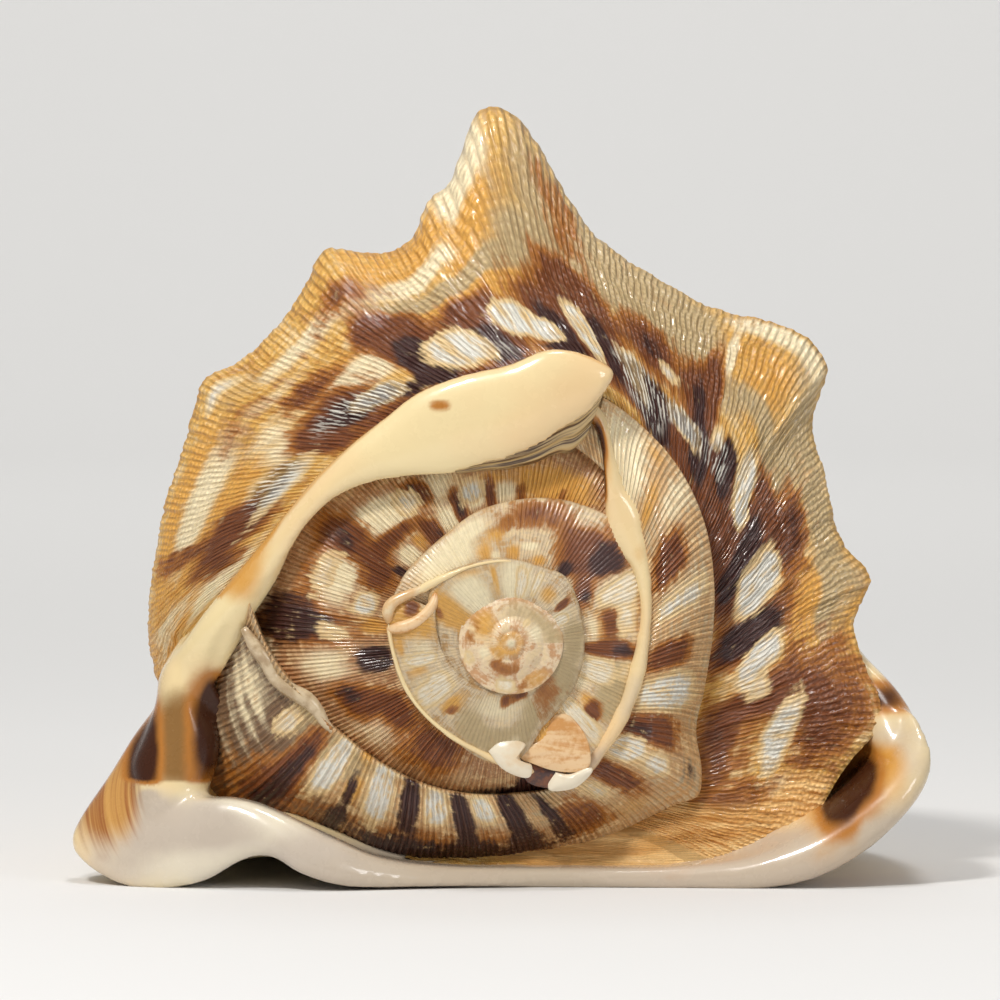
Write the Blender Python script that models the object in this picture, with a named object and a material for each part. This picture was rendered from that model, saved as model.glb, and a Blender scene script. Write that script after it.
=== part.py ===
"""Helmet shell, one natural piece of coiled shell lying on its flat mouth shield.

Frame: metres, +Z up, the spire looks along -Y and the siphon canal lies at +Y.  The coiling axis runs
along Y.  A place on the coil is given by its bearing round that axis (degrees, counter-clockwise from
+X when looking at the spire), its radius and its depth along Y.  The shell grew clockwise, so bearings fall
from the oldest whorl to the mouth.  All the tables below are in millimetres and degrees, with depth counted
from a plane in front of the spire; MIDDLE_X and MIDDLE_DEPTH move the finished body over the origin.
"""
import math

import bpy
import numpy as np

MM = 0.001
AXIS_X = 2.75
AXIS_Z = 62.5
MIDDLE_X = -0.06
MIDDLE_DEPTH = 131.09

# Number of steps of the grids that the growth stages are lofted on.
PLATE_STEPS = 24
PLATE_ACROSS = 3
ROLL_STEPS = 22
ROLL_SIDES = 8
BEARING_STEP = 2.5        # step of the last whorl where the horns stand
BEARING_STEP_HIDDEN = 8.0    # and beside the mouth
KEPT_FACES = 0.8

# Shoulder of the last whorl without its horns: bearing, radius, depth.
SHOULDER = [
    (-180, 92, 55), (-165, 89, 54), (-150, 82, 50), (-140, 72, 46), (-130, 66, 42), (-120, 63, 39),
    (-105, 60, 36), (-90, 58, 34), (-75, 60.5, 33), (-60, 67, 32.5), (-50, 75.5, 32.5), (-42, 87, 33.5),
    (-35, 91, 35.5), (-28, 89.5, 38), (-20, 90.5, 40.5), (-12, 93, 43), (-6, 90, 46), (0, 87, 51),
    (8, 86, 55), (20, 87, 55), (30, 90, 55), (45, 96, 55), (60, 95, 55), (75, 98.5, 55), (90, 100, 55),
    (105, 101, 55), (120, 98, 55), (135, 96.5, 55), (150, 95, 55), (165, 92.5, 55), (180, 92, 55),
]
# Shoulder horns: bearing, height, spread and power towards growth, spread and power against growth.
HORNS = [
    (91.4, 33, 8.6, 1.7, 6.0, 3.0), (100.2, 9.5, 2.6, 2, 3.0, 2), (116, 9, 4.6, 1.8, 5.5, 1.6),
    (140.5, 4.6, 3.8, 1.8, 6, 1.6), (42, 10.5, 5.4, 2.8, 12, 1.8), (8.5, 6, 4.4, 2, 4.8, 2),
]
SHOULDER_DEPTH = 55.0

# Suture where the last whorl meets the spire: bearing, radius, depth.
SUTURE = [
    (-180, 80, 36), (-160, 74, 44), (-150, 66, 47), (-120, 52, 47), (-90, 48, 46), (-60, 50, 44),
    (-40, 53, 40), (-20, 46.5, 38), (0, 46.5, 38), (20, 50, 38), (40, 55, 37), (56, 60, 35), (68, 65, 30),
    (78, 67, 24), (90, 63, 20), (120, 59, 21), (150, 61, 25), (165, 68, 29), (180, 80, 36),
]

# Ramp from the suture to the shoulder: share of the way out, share of the way back, share of the horns.
RAMP = [(0.3, 0.30, 0.05), (0.6, 0.60, 0.3), (0.85, 0.82, 0.75), (1.0, 1.0, 1.0)]
HORN_TILT = 0.1      # how far a horn leans towards the spire, as a share of its height
HORN_RUN = 24.0      # how far a horn runs back along the flank
# Hidden step under the spire, and the flat core behind it.
STEP_UNDER = 5.0
STEP_UNDER_DROP = 12.0
STEP_UNDER_DEPTHS = (42.0, 47.0)
CORE_SHARE = 0.35
CORE_DEPTH = 44.0

# Flank of the last whorl from the shoulder to the canal: depth, scale of the shoulder, shift X, lift Z.
FLANK = [
    (68, 0.99, 0.0, 0.0), (90, 0.955, 0.5, 0.0), (115, 0.885, 1.5, 0.0), (142, 0.785, 3.0, 0.0),
    (168, 0.655, 4.5, 0.0), (190, 0.52, 6.0, 2.0), (208, 0.405, 7.0, 6.0), (224, 0.305, 8.0, 14.0),
    (236, 0.24, 8.0, 22.0), (244, 0.19, 8.0, 29.0), (248.5, 0.13, 8.0, 33.5), (250, 0.06, 8.0, 36.0),
]
BELLY = 10.0      # height of the underside of the flank
LIP_TUCK = 0.28   # how far the flank draws in above the outer lip
LIP_BEARING = -34.0
KNOB_SPREAD = 6.0
KNOB_REACH = 12.0
# Rows of low knobs on the flank: depth, first bearing, last bearing, count, height.
KNOB_ROWS = [(104, 30, 165, 7, 5.5), (142, 25, 160, 7, 4.0)]

# Growth stages of the spire, oldest last: bearing, inner radius and depth, outer radius and depth, crown.
SECOND_WHORL = [
    (76, 52, 24, 66, 28, 1), (60, 48, 23, 62.5, 31, 2.5), (45, 43, 22.5, 59.5, 32.5, 3),
    (30, 39, 22.5, 56, 33, 3), (15, 35.5, 22.5, 52.5, 33, 3), (0, 34, 22.5, 50.3, 33, 3),
    (-15, 33.5, 22.5, 50, 33, 3), (-28, 34, 23.5, 52.5, 34, 3), (-36, 34.5, 24, 59, 35, 3),
    (-40, 35, 24.5, 61.5, 36, 3), (-46, 35.5, 25, 59, 37.5, 3), (-62, 38, 26, 56, 39, 3),
    (-75, 39, 27, 55.5, 40, 3), (-90, 39, 27, 57, 41, 4), (-105, 40.5, 26.5, 60.5, 42, 4),
    (-120, 42.5, 26, 66.5, 43, 4), (-135, 45, 25.5, 71, 43, 4), (-150, 48.5, 25, 84, 44, 3),
    (-165, 54, 24.5, 84, 44, 2), (-176, 60, 25, 78, 42, 2), (-188, 66, 27, 73, 36, 1),
]
THIRD_WHORL = [
    (-66, 27, 25, 39, 31, 1), (-80, 27, 23, 39.5, 32, 1.5), (-95, 27, 22.5, 41, 33, 2),
    (-110, 27, 22.5, 43, 34, 2.5), (-125, 27, 22.5, 46, 35, 3), (-140, 27.5, 22.5, 49, 36, 3.5),
    (-155, 28, 22.5, 54, 37, 4), (-170, 28.5, 22.5, 62, 38, 5), (-185, 29, 22.5, 66, 38, 6),
    (-200, 29.5, 22.5, 66, 36, 6), (-215, 29, 22.5, 64, 34, 5), (-230, 29, 22.5, 60, 32, 4),
    (-245, 30, 22.5, 56, 31, 3), (-260, 32, 23, 55, 30, 2.5), (-275, 33, 23, 55, 30, 2),
    (-290, 34, 23.5, 54, 30, 2), (-305, 35, 24, 52, 30, 1.5), (-320, 36, 25, 48, 30, 1),
]
FOURTH_WHORL = [
    (162, 18, 19.5, 31, 21.5, 0.5), (150, 19, 19, 31, 21, 0.8), (135, 20, 18.5, 30.5, 20.8, 1),
    (120, 20, 18.5, 31, 20.8, 1), (105, 19, 18.5, 33, 21, 1.2), (90, 18, 18.5, 34.6, 21.2, 1.3),
    (75, 18, 18.5, 36.5, 21.5, 1.3), (60, 18, 18.7, 38.2, 22, 1.3), (45, 17.5, 19, 39.5, 23, 1.2),
    (30, 17, 19, 38, 24, 1), (15, 16.5, 19.2, 35, 24, 1), (0, 16.5, 19.4, 33.5, 24, 1),
    (-20, 16.5, 19.7, 33, 24, 1), (-40, 17.5, 20, 34, 23.5, 1), (-60, 20, 20, 35, 22.5, 1),
    (-72, 22.5, 20, 36, 22, 1), (-80, 25, 20.5, 35.5, 22.5, 0.8),
]
FIFTH_WHORL = [
    (-62, 11.5, 16.5, 20, 19, 0.6), (-75, 12, 16.5, 24.5, 19, 0.8), (-85, 12.3, 16.5, 29, 19.3, 1),
    (-100, 12.8, 16.5, 30.3, 19.5, 1), (-120, 13.6, 16.5, 28.3, 19.3, 1),
    (-140, 14.8, 16.5, 28.3, 19, 1), (-160, 16.3, 16.5, 29.2, 18.8, 1),
    (-180, 18, 16.3, 29.8, 18.5, 0.8), (-195, 19.5, 16.2, 31.4, 18.3, 0.8),
    (-203, 20.5, 16.5, 30.5, 18.5, 0.5),
]
SIXTH_WHORL = [
    (268, 8, 15.9, 13.2, 16.6, 0.2), (245, 8, 15.9, 14.6, 17.0, 0.3), (215, 8, 16, 16.6, 17.6, 0.3),
    (182, 8, 16.2, 18.8, 18, 0.3), (165, 8.3, 15.8, 20.3, 17.8, 0.4), (150, 8.5, 15.5, 23.4, 17.5, 0.4),
    (135, 8.7, 15.2, 23.4, 17, 0.5), (120, 9, 15, 21.9, 16.8, 0.5), (105, 9, 15, 21, 16.8, 0.5),
    (90, 9.5, 15, 20.3, 16.8, 0.5), (70, 10, 15, 19.8, 16.8, 0.5), (50, 10, 15, 20.8, 17, 0.5),
    (35, 10, 15.2, 19.5, 17.2, 0.5), (20, 10.5, 15.3, 18.4, 17.5, 0.5), (0, 10.5, 15.5, 18, 17.8, 0.5),
    (-20, 10.5, 15.8, 18.4, 18, 0.5), (-40, 11, 16, 19.4, 18.3, 0.5), (-60, 11.5, 16.2, 21, 18.6, 0.6),
    (-72, 12, 16.4, 23, 19, 0.6),
]
SPIRE_BACK = 58.0    # depth that the stages of the spire reach inside the last whorl
CROWN_RADIUS = 13.0
CROWN_TIP = 12.0
CROWN_RISE = 3.6

# Old mouth margins left on the spire as rolls: bearing, radius, depth of the crest, half width, height.
MARGIN_RIGHT = [
    (74, 61, 22, 2, 2), (68, 57, 21.5, 3.2, 3), (60, 50, 21, 3.4, 3.4), (50, 43.2, 21, 3.6, 3.4),
    (40, 39.7, 21, 3, 3), (30, 38.2, 20.8, 2, 2.6), (15, 35, 20.6, 1.8, 2.4), (0, 33.1, 20.6, 1.9, 2.4),
    (-15, 32.6, 20.8, 2.1, 2.4), (-30, 33.2, 21.2, 2.1, 2.2), (-45, 34.6, 21.8, 2, 2),
    (-60, 37.1, 22.8, 1.9, 1.8), (-70, 38.8, 24, 1.5, 1.5),
]
MARGIN_LOWER = [
    (-76, 33, 18.6, 2.2, 1.6), (-88, 31.2, 18, 1.6, 1.4), (-105, 28.6, 18, 1.1, 1.2),
    (-125, 27.8, 18, 1, 1.1), (-150, 28.4, 17.8, 1, 1.1), (-175, 29.2, 17.4, 1.1, 1.2),
    (-192, 31, 17.2, 1.5, 1.4), (-201, 30.3, 17.2, 1.8, 1.6), (-207, 27.2, 16.8, 1.6, 1.7),
]
MARGIN_UPPER = [
    (149, 25.5, 16.5, 1.4, 1.5), (141, 24.1, 16.2, 1.2, 1.2), (130, 22.4, 16, 1, 0.9),
    (115, 21.2, 16, 0.8, 0.7), (100, 20.4, 16, 0.7, 0.6), (80, 19.8, 16.2, 0.7, 0.6),
    (60, 20, 16.3, 0.7, 0.6), (38, 19.4, 16.6, 0.8, 0.7), (30, 17.6, 17.2, 0.8, 0.8),
]
# Broad glazed tongue of the last old margin: bearing, inner radius and depth, outer radius and depth,
# crown, thickness.
TONGUE = [
    (196, 72, 38, 90, 44, 3, 16), (187, 75.5, 31, 88, 37, 3, 20), (179, 72.5, 26, 80.5, 31, 2.5, 22),
    (170, 64.5, 23, 73, 27, 2.5, 20), (160, 60, 21, 67.3, 24.5, 2.5, 15),
    (150, 58.5, 19, 64.5, 22, 2.5, 12), (140, 56.3, 17.5, 63.5, 20, 2.5, 12),
    (130, 52, 16.5, 63.3, 18, 2.5, 11), (120, 47.3, 15.5, 64, 17, 2.5, 10),
    (110, 44.2, 15, 66.5, 16, 2.5, 9), (100, 44.2, 14.5, 67.7, 15, 2.5, 9),
    (90, 46, 14, 69.5, 14.5, 2.5, 9), (82, 49.5, 14, 74, 14.5, 2.5, 9),
    (76, 54.6, 14.5, 74.2, 15, 2, 9), (71.5, 60, 15.2, 73.4, 15.6, 1.6, 8),
    (68.6, 67.5, 15.8, 72.8, 16, 1.2, 7),
]

# Varix that runs down from the tongue to the shield: left edge X Z, right edge X Z, depth of the crest.
COLUMN = [
    (-75.6, 68, -71, 68, 36.5), (-79.6, 63, -71.8, 63, 34.5), (-83.6, 57, -72.8, 57, 33),
    (-86, 52, -73.5, 52, 32.5), (-87, 45, -73, 45, 32), (-89.5, 38, -70.5, 38, 31),
    (-92.5, 31, -71, 31, 30), (-92.5, 25, -73, 25, 29), (-93, 18, -75, 18, 29),
]
COLUMN_HEIGHT = 9.0
COLUMN_BACK = 14.0
# Flared left corner of the shield: outer edge X Z and depth, inner edge X Z and depth.
LOBE = [
    (-87, 44, 47, -80, 50, 42), (-93, 36, 46, -84, 38, 40), (-98.6, 27, 44, -84, 30, 37),
    (-106, 16, 42, -83, 26, 34), (-107.5, 9.5, 40, -81, 24, 32), (-103, 4, 36, -78, 23, 30),
    (-94, 0, 31, -74.5, 22.5, 28), (-85, -0.5, 28, -71, 22.5, 26), (-74, 3, 25, -67, 22.5, 25),
    (-64, 7.6, 22, -61.5, 21.5, 24), (-57, 8.3, 20, -56, 19.5, 23), (-50, 4.5, 18, -49.5, 16.5, 22),
    (-41, 1.5, 17, -41, 12.5, 21), (-32, 0.6, 17, -32, 8, 20),
]
# Rolled edge of the outer lip where it leaves the shoulder: X, depth, Z, radius.
LIP = [
    (76, 80, 69, 3.5), (82.5, 70, 61, 5), (88.5, 61, 52, 6), (95, 52.5, 44.5, 6.6), (98.6, 46.5, 37.5, 6.6),
    (98.5, 42, 30.5, 5.4), (94, 39, 24, 4), (86, 37, 17, 2.5),
]
# Middle of the rolled edge of the mouth shield, round from the outer lip: X, depth, Z, radius.
SHIELD = [
    (98.6, 43, 37.5, 6.8), (99.4, 57, 34, 7.2), (99, 76, 29, 7.5), (95, 98, 23, 7.5), (87, 124, 18, 7.5),
    (75, 152, 13, 8), (60, 182, 8, 8), (43, 206, 7, 7), (29, 225, 10, 6.5), (16, 238, 16, 6),
    (0, 238, 16, 6), (-12, 226, 10, 6), (-28, 206, 6, 6), (-47, 180, 5, 5), (-66, 148, 4.5, 5),
    (-81, 115, 5, 5), (-92, 85, 7, 5), (-99, 62, 11, 5.5), (-98, 50, 12, 6), (-86, 42, 8, 6),
    (-72, 37, 9, 5.5), (-60, 33, 13, 5), (-48, 31, 9, 4.5), (-34, 29, 4.2, 3.6), (-20, 29, 2.6, 2.8),
    (0, 29, 2.4, 2.6), (20, 29, 2.3, 2.6), (45, 28, 2.3, 3), (63, 27, 3.6, 4.2), (77.4, 27, 8, 6),
    (88.8, 29, 14.7, 6.8), (98.0, 32, 23, 7), (102.4, 37, 31, 7.2),
]
SHIELD_MID = (6.0, 120.0)
SHIELD_HOLLOW = 6.0    # height of the hollow middle of the shield
SHIELD_RISE = [(20, 1), (36, 2), (60, 14), (120, 22), (200, 14), (250, 8)]    # fillet under the flank

# Long narrow mouth: depth, X of its middle, half width, height of its roof.
MOUTH = [
    (46, 36, 4, 17), (58, 33.5, 8, 36), (80, 29, 10, 56), (115, 25, 10.5, 56), (150, 22, 10, 48),
    (180, 19, 9, 40), (205, 14, 7.5, 34), (224, 9, 6, 36), (240, 8, 5, 43), (262, 8, 5, 56),
]

SHELL_COLOUR = (0.62, 0.38, 0.17, 1.0)


def smooth(at, knots):
    """Catmull-Rom curve through rows of knots whose first column rises or falls steadily."""
    table = np.asarray(knots, float)
    if table[0, 0] > table[-1, 0]:
        table = table[::-1]
    x = table[:, 0]
    v = table[:, 1:]
    slope = np.gradient(v, x, axis=0)
    at = np.clip(np.asarray(at, float), x[0], x[-1])
    i = np.clip(np.searchsorted(x, at, side="right") - 1, 0, len(x) - 2)
    h = x[i + 1] - x[i]
    t = ((at - x[i]) / h)[..., None]
    h = h[..., None]
    return ((1 + 2 * t) * (1 - t) ** 2 * v[i] + t * (1 - t) ** 2 * h * slope[i]
            + t * t * (3 - 2 * t) * v[i + 1] + t * t * (t - 1) * h * slope[i + 1])


def along(knots, steps):
    """Rows interpolated at even steps along a list of knots taken in order."""
    rows = np.asarray(knots, float)
    order = np.arange(len(rows), dtype=float)
    at = np.linspace(0, len(rows) - 1, steps)
    return smooth(at, np.column_stack([order, rows]))


def on_coil(bearing, radius, depth):
    """Point at a bearing and a radius round the coiling axis."""
    angle = np.radians(bearing)
    return np.stack([AXIS_X + radius * np.cos(angle), depth + 0 * angle, AXIS_Z + radius * np.sin(angle)], -1)


def mesh_object(name, rings, closed_rows=False):
    """Closed body lofted over rings of points; open ends are closed by fans."""
    rows, sides, _ = rings.shape
    points = rings.reshape(-1, 3)
    index = np.arange(rows * sides).reshape(rows, sides)
    nxt = np.roll(index, -1, axis=1)
    faces = []
    last = rows if closed_rows else rows - 1
    for k in range(last):
        a, b = index[k], nxt[k]
        c, d = nxt[(k + 1) % rows], index[(k + 1) % rows]
        faces += np.stack([a, b, c, d], 1).tolist()
    if not closed_rows:
        hubs = np.stack([rings[0].mean(0), rings[-1].mean(0)])
        first_hub = len(points)
        points = np.vstack([points, hubs])
        faces += [[first_hub, int(b), int(a)] for a, b in zip(index[0], nxt[0])]
        faces += [[first_hub + 1, int(a), int(b)] for a, b in zip(index[-1], nxt[-1])]
    mesh = bpy.data.meshes.new(name)
    mesh.from_pydata(((points - (MIDDLE_X, MIDDLE_DEPTH, 0.0)) * MM).tolist(), [], faces)
    mesh.update()
    if signed_volume(mesh) < 0:
        mesh.flip_normals()
    shape = bpy.data.objects.new(name, mesh)
    bpy.context.scene.collection.objects.link(shape)
    return shape


def signed_volume(mesh):
    """Volume of a closed mesh, negative when it is inside out."""
    mesh.calc_loop_triangles()
    corners = np.array([[mesh.vertices[v].co[:] for v in tri.vertices] for tri in mesh.loop_triangles])
    return float(np.einsum("ij,ij->i", corners[:, 0], np.cross(corners[:, 1], corners[:, 2])).sum()) / 6


def bell(distance, before, before_power, after, after_power):
    """Rounded peak of height 1 with its own spread and fullness on each side."""
    spread = np.where(distance < 0, before, after)
    power = np.where(distance < 0, before_power, after_power)
    return np.exp(-np.abs(distance / spread) ** power)


def body_whorl():
    """Last whorl: ramp behind the suture, horned shoulder, flank and canal."""
    bearing = np.concatenate([np.arange(-180, -20, BEARING_STEP_HIDDEN), np.arange(-20, 180, BEARING_STEP)])
    shoulder, edge_depth = smooth(bearing, SHOULDER).T
    suture = smooth(bearing, SUTURE)
    horn = sum(height * bell(bearing - at, *sides) for at, height, *sides in HORNS)
    stations = []

    def station(radius, depth, centre_x=AXIS_X, centre_z=AXIS_Z):
        ring = on_coil(bearing, radius, depth)
        ring[:, 0] += centre_x - AXIS_X
        ring[:, 2] += centre_z - AXIS_Z
        stations.append(ring)

    station(suture[:, 0] * CORE_SHARE, CORE_DEPTH)
    station(suture[:, 0] - STEP_UNDER, np.clip(suture[:, 1] + STEP_UNDER_DROP, *STEP_UNDER_DEPTHS))
    station(suture[:, 0], suture[:, 1])
    for t, drop, share in RAMP:
        radius = suture[:, 0] + t * (shoulder - suture[:, 0]) + share * horn
        depth = suture[:, 1] + drop * (edge_depth - suture[:, 1]) - HORN_TILT * share * (1 - t) * horn
        station(radius, depth)
    for depth, scale, shift, lift in FLANK:
        horn_left = 0.8 * math.exp(-((depth - SHOULDER_DEPTH) / HORN_RUN) ** 1.5)
        knobs = np.zeros_like(bearing)
        for row_depth, first, last, count, height in KNOB_ROWS:
            reach = math.exp(-((depth - row_depth) / KNOB_REACH) ** 2)
            for at in np.linspace(first, last, count):
                knobs += height * reach * bell(bearing - at, KNOB_SPREAD, 1.8, KNOB_SPREAD, 1.8)
        tuck = LIP_TUCK * min(1.0, (depth - SHOULDER_DEPTH) / HORN_RUN)
        lip_side = 1.0 - tuck * bell(bearing - LIP_BEARING, 30, 2, 26, 2)
        radius = shoulder * scale * lip_side + horn_left * horn + knobs
        station(radius, depth, AXIS_X + shift, BELLY + (AXIS_Z - BELLY) * scale + lift)
    return mesh_object("body whorl", np.array(stations))


def whorl_plate(name, rows):
    """One stage of the spire: a ramp between two sutures, sunk into the stage below."""
    bearings = np.linspace(rows[0][0], rows[-1][0], PLATE_STEPS)
    table = smooth(bearings, rows)
    inner_r, inner_y, outer_r, outer_y, crown = table.T
    ring = []
    for t in np.linspace(0, 1, PLATE_ACROSS + 1):
        radius = inner_r + t * (outer_r - inner_r)
        depth = inner_y + t * (outer_y - inner_y) - crown * 4 * t * (1 - t)
        ring.append(on_coil(bearings, radius, depth))
    ring.append(on_coil(bearings, outer_r, SPIRE_BACK + 0 * outer_r))
    ring.append(on_coil(bearings, inner_r, SPIRE_BACK + 0 * inner_r))
    return mesh_object(name, np.stack(ring, 1))


def crown_dome():
    """Oldest whorls: a low dome at the apex."""
    bearing = np.arange(0, 360, 20.0)
    rings = []
    for share in (0.12, 0.35, 0.6, 0.85, 1.0):
        radius = CROWN_RADIUS * share
        rings.append(on_coil(bearing, radius + 0 * bearing, CROWN_TIP + CROWN_RISE * share ** 1.4))
    rings.append(on_coil(bearing, CROWN_RADIUS + 0 * bearing, SPIRE_BACK))
    return mesh_object("crown", np.array(rings))


def margin_roll(name, rows, skirt=8.0):
    """Raised roll that an old mouth margin left on the spire."""
    bearings = np.linspace(rows[0][0], rows[-1][0], ROLL_STEPS)
    radius, crest, half, height = smooth(bearings, rows).T
    ring = []
    for angle in np.linspace(0, math.pi, 5):
        back = crest + height * (1 - math.sin(angle))
        ring.append(on_coil(bearings, radius - half * math.cos(angle), back))
    ring.append(on_coil(bearings, radius + half, crest + height + skirt))
    ring.append(on_coil(bearings, radius - half, crest + height + skirt))
    return mesh_object(name, np.stack(ring, 1))


def tongue():
    """Glazed tongue: a thick plate with rounded edges that overhangs the spire."""
    bearings = np.linspace(TONGUE[0][0], TONGUE[-1][0], PLATE_STEPS)
    inner_r, inner_y, outer_r, outer_y, crown, thick = smooth(bearings, TONGUE).T
    ring = []
    for t in (0.0, 0.04, 0.12, 0.35, 0.65, 0.88, 0.96, 1.0):
        bulge = crown * (1 - abs(2 * t - 1) ** 4)
        ring.append(on_coil(bearings, inner_r + t * (outer_r - inner_r),
                            inner_y + t * (outer_y - inner_y) + 2.0 - bulge))
    width = outer_r - inner_r
    ring.append(on_coil(bearings, outer_r - 0.05 * width, outer_y + thick))
    ring.append(on_coil(bearings, inner_r + 0.3 * width, inner_y + thick))
    return mesh_object("tongue", np.stack(ring, 1))


def ridge(name, left, right, crest, back):
    """Rounded ridge between two edges; crest is how far its middle stands nearer than the edges."""
    ring = []
    for angle in np.linspace(0, math.pi, 6):
        t = (1 - math.cos(angle)) / 2
        point = left + t * (right - left)
        point[:, 1] -= crest * math.sin(angle)
        ring.append(point)
    for edge in (right, left):
        deep = edge.copy()
        deep[:, 1] += back
        ring.append(deep)
    return mesh_object(name, np.stack(ring, 1))


def column():
    """Varix that joins the tongue to the left corner of the shield."""
    left_x, left_z, right_x, right_z, crest = along(COLUMN, 14).T
    left = np.stack([left_x, crest + COLUMN_HEIGHT, left_z], 1)
    right = np.stack([right_x, crest + COLUMN_HEIGHT, right_z], 1)
    return ridge("column", left, right, COLUMN_HEIGHT, COLUMN_BACK)


def lobe():
    """Flared left corner of the shield."""
    rows = along(LOBE, 28)
    outer = rows[:, [0, 2, 1]]
    inner = rows[:, [3, 5, 4]]
    return ridge("left corner", outer, inner, 3.0, 11.0)


def tube(name, rows, steps):
    """Round roll along a path of X, depth, Z and radius."""
    table = along(rows, steps)
    path, radius = table[:, :3], table[:, 3]
    run = np.gradient(path, axis=0)
    run /= np.linalg.norm(run, axis=1)[:, None]
    side = np.cross(run, (0.0, 1.0, 0.0))
    side /= np.linalg.norm(side, axis=1)[:, None]
    up = np.cross(side, run)
    ring = []
    for angle in np.arange(ROLL_SIDES) * 2 * math.pi / ROLL_SIDES:
        offset = side * math.cos(angle) + up * math.sin(angle)
        ring.append(path + offset * radius[:, None])
    return mesh_object(name, np.stack(ring, 1))


def shield():
    """Mouth shield: a plate with a rolled edge, hollow underneath, its top sunk in the body."""
    rows = along(SHIELD + SHIELD[:1], 67)[:-1]
    edge_x, edge_y, height, roll = rows.T
    mid_x, mid_y = SHIELD_MID
    out = np.stack([edge_x - mid_x, edge_y - mid_y], 1)
    reach = np.linalg.norm(out, axis=1)
    out /= reach[:, None]
    rings = []
    for share, climb in ((0.1, 0.0), (0.5, 0.0), (0.7, 0.12), (0.84, 0.38)):
        rings.append(np.stack([mid_x + out[:, 0] * reach * share, mid_y + out[:, 1] * reach * share,
                               SHIELD_HOLLOW + climb * np.maximum(height - roll - SHIELD_HOLLOW, 0.0)], 1))
    for angle in np.radians([-120, -90, -60, -20, 20, 60, 90]):
        from_mid = reach + roll * math.cos(angle)
        rings.append(np.stack([mid_x + out[:, 0] * from_mid, mid_y + out[:, 1] * from_mid,
                               height + roll * math.sin(angle)], 1))
    for share, part in ((0.88, 0.3), (0.72, 0.8), (0.45, 1.0), (0.1, 1.0)):
        place_x = mid_x + out[:, 0] * reach * share
        place_y = mid_y + out[:, 1] * reach * share
        rise = smooth(place_y, SHIELD_RISE)[:, 0]
        rings.append(np.stack([place_x, place_y, height + roll + part * rise], 1))
    return mesh_object("shield", np.array(rings))


def mouth():
    """Cutter of the mouth: a long narrow slit that opens below and into the canal."""
    rows = along(MOUTH, 30)
    depth, middle, half, roof = rows.T
    ring = []
    for angle in np.linspace(0, math.pi, 8):
        ring.append(np.stack([middle + half * math.cos(angle), depth,
                              roof - half * 1.2 * (1 - math.sin(angle))], 1))
    ring.append(np.stack([middle - half, depth, 0 * depth - 6.0], 1))
    ring.append(np.stack([middle + half, depth, 0 * depth - 6.0], 1))
    return mesh_object("mouth cutter", np.stack(ring, 1))


def ground():
    """Cutter of everything below the resting plane."""
    corners = np.array([(-200, -100), (200, -100), (200, 400), (-200, 400)], float)
    rings = [np.column_stack([corners, np.full(4, z)]) for z in (-60.0, 0.0)]
    return mesh_object("ground cutter", np.array(rings))


def shell_material():
    """Glossy ochre shell."""
    material = bpy.data.materials.new("shell")
    material.use_nodes = True
    surface = material.node_tree.nodes["Principled BSDF"]
    surface.inputs["Base Color"].default_value = SHELL_COLOUR
    surface.inputs["Roughness"].default_value = 0.3
    surface.inputs["Metallic"].default_value = 0.0
    return material


def clear_scene():
    """Remove every object that the scene starts with."""
    for thing in list(bpy.data.objects):
        bpy.data.objects.remove(thing)


def join(target, label, operation, tools, solver="EXACT"):
    """Boolean of target with a collection of hidden tools."""
    group = bpy.data.collections.new(label)
    bpy.context.scene.collection.children.link(group)
    for tool in tools:
        bpy.context.scene.collection.objects.unlink(tool)
        group.objects.link(tool)
        tool.hide_render = True
        tool.display_type = "WIRE"
    step = target.modifiers.new(label, "BOOLEAN")
    step.operation = operation
    step.operand_type = "COLLECTION"
    step.collection = group
    step.solver = solver


def build():
    clear_scene()
    shell = body_whorl()
    shell.name = "helmet_shell"
    shell.data.materials.append(shell_material())
    stages = [
        whorl_plate("second whorl", SECOND_WHORL), whorl_plate("third whorl", THIRD_WHORL),
        whorl_plate("fourth whorl", FOURTH_WHORL), whorl_plate("fifth whorl", FIFTH_WHORL),
        whorl_plate("sixth whorl", SIXTH_WHORL), crown_dome(),
        margin_roll("right margin", MARGIN_RIGHT), margin_roll("lower margin", MARGIN_LOWER),
        margin_roll("upper margin", MARGIN_UPPER), tongue(), column(), lobe(),
        tube("outer lip", LIP, 12), shield(),
    ]
    join(shell, "growth stages", "UNION", stages)
    join(shell, "hollows", "DIFFERENCE", [mouth(), ground()], solver="MANIFOLD")
    thin = shell.modifiers.new("fewer faces", "DECIMATE")
    thin.ratio = KEPT_FACES
    shell.data.shade_smooth()


build()
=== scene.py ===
"""Looks of a helmet shell: one coiled natural shell that lies on its flat mouth shield.

The tables are in millimetres and degrees.  A place on the coil is given by its bearing round the coiling axis
(counter-clockwise from +X when looking at the spire), its radius and its depth behind the spire.
"""
import math

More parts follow.
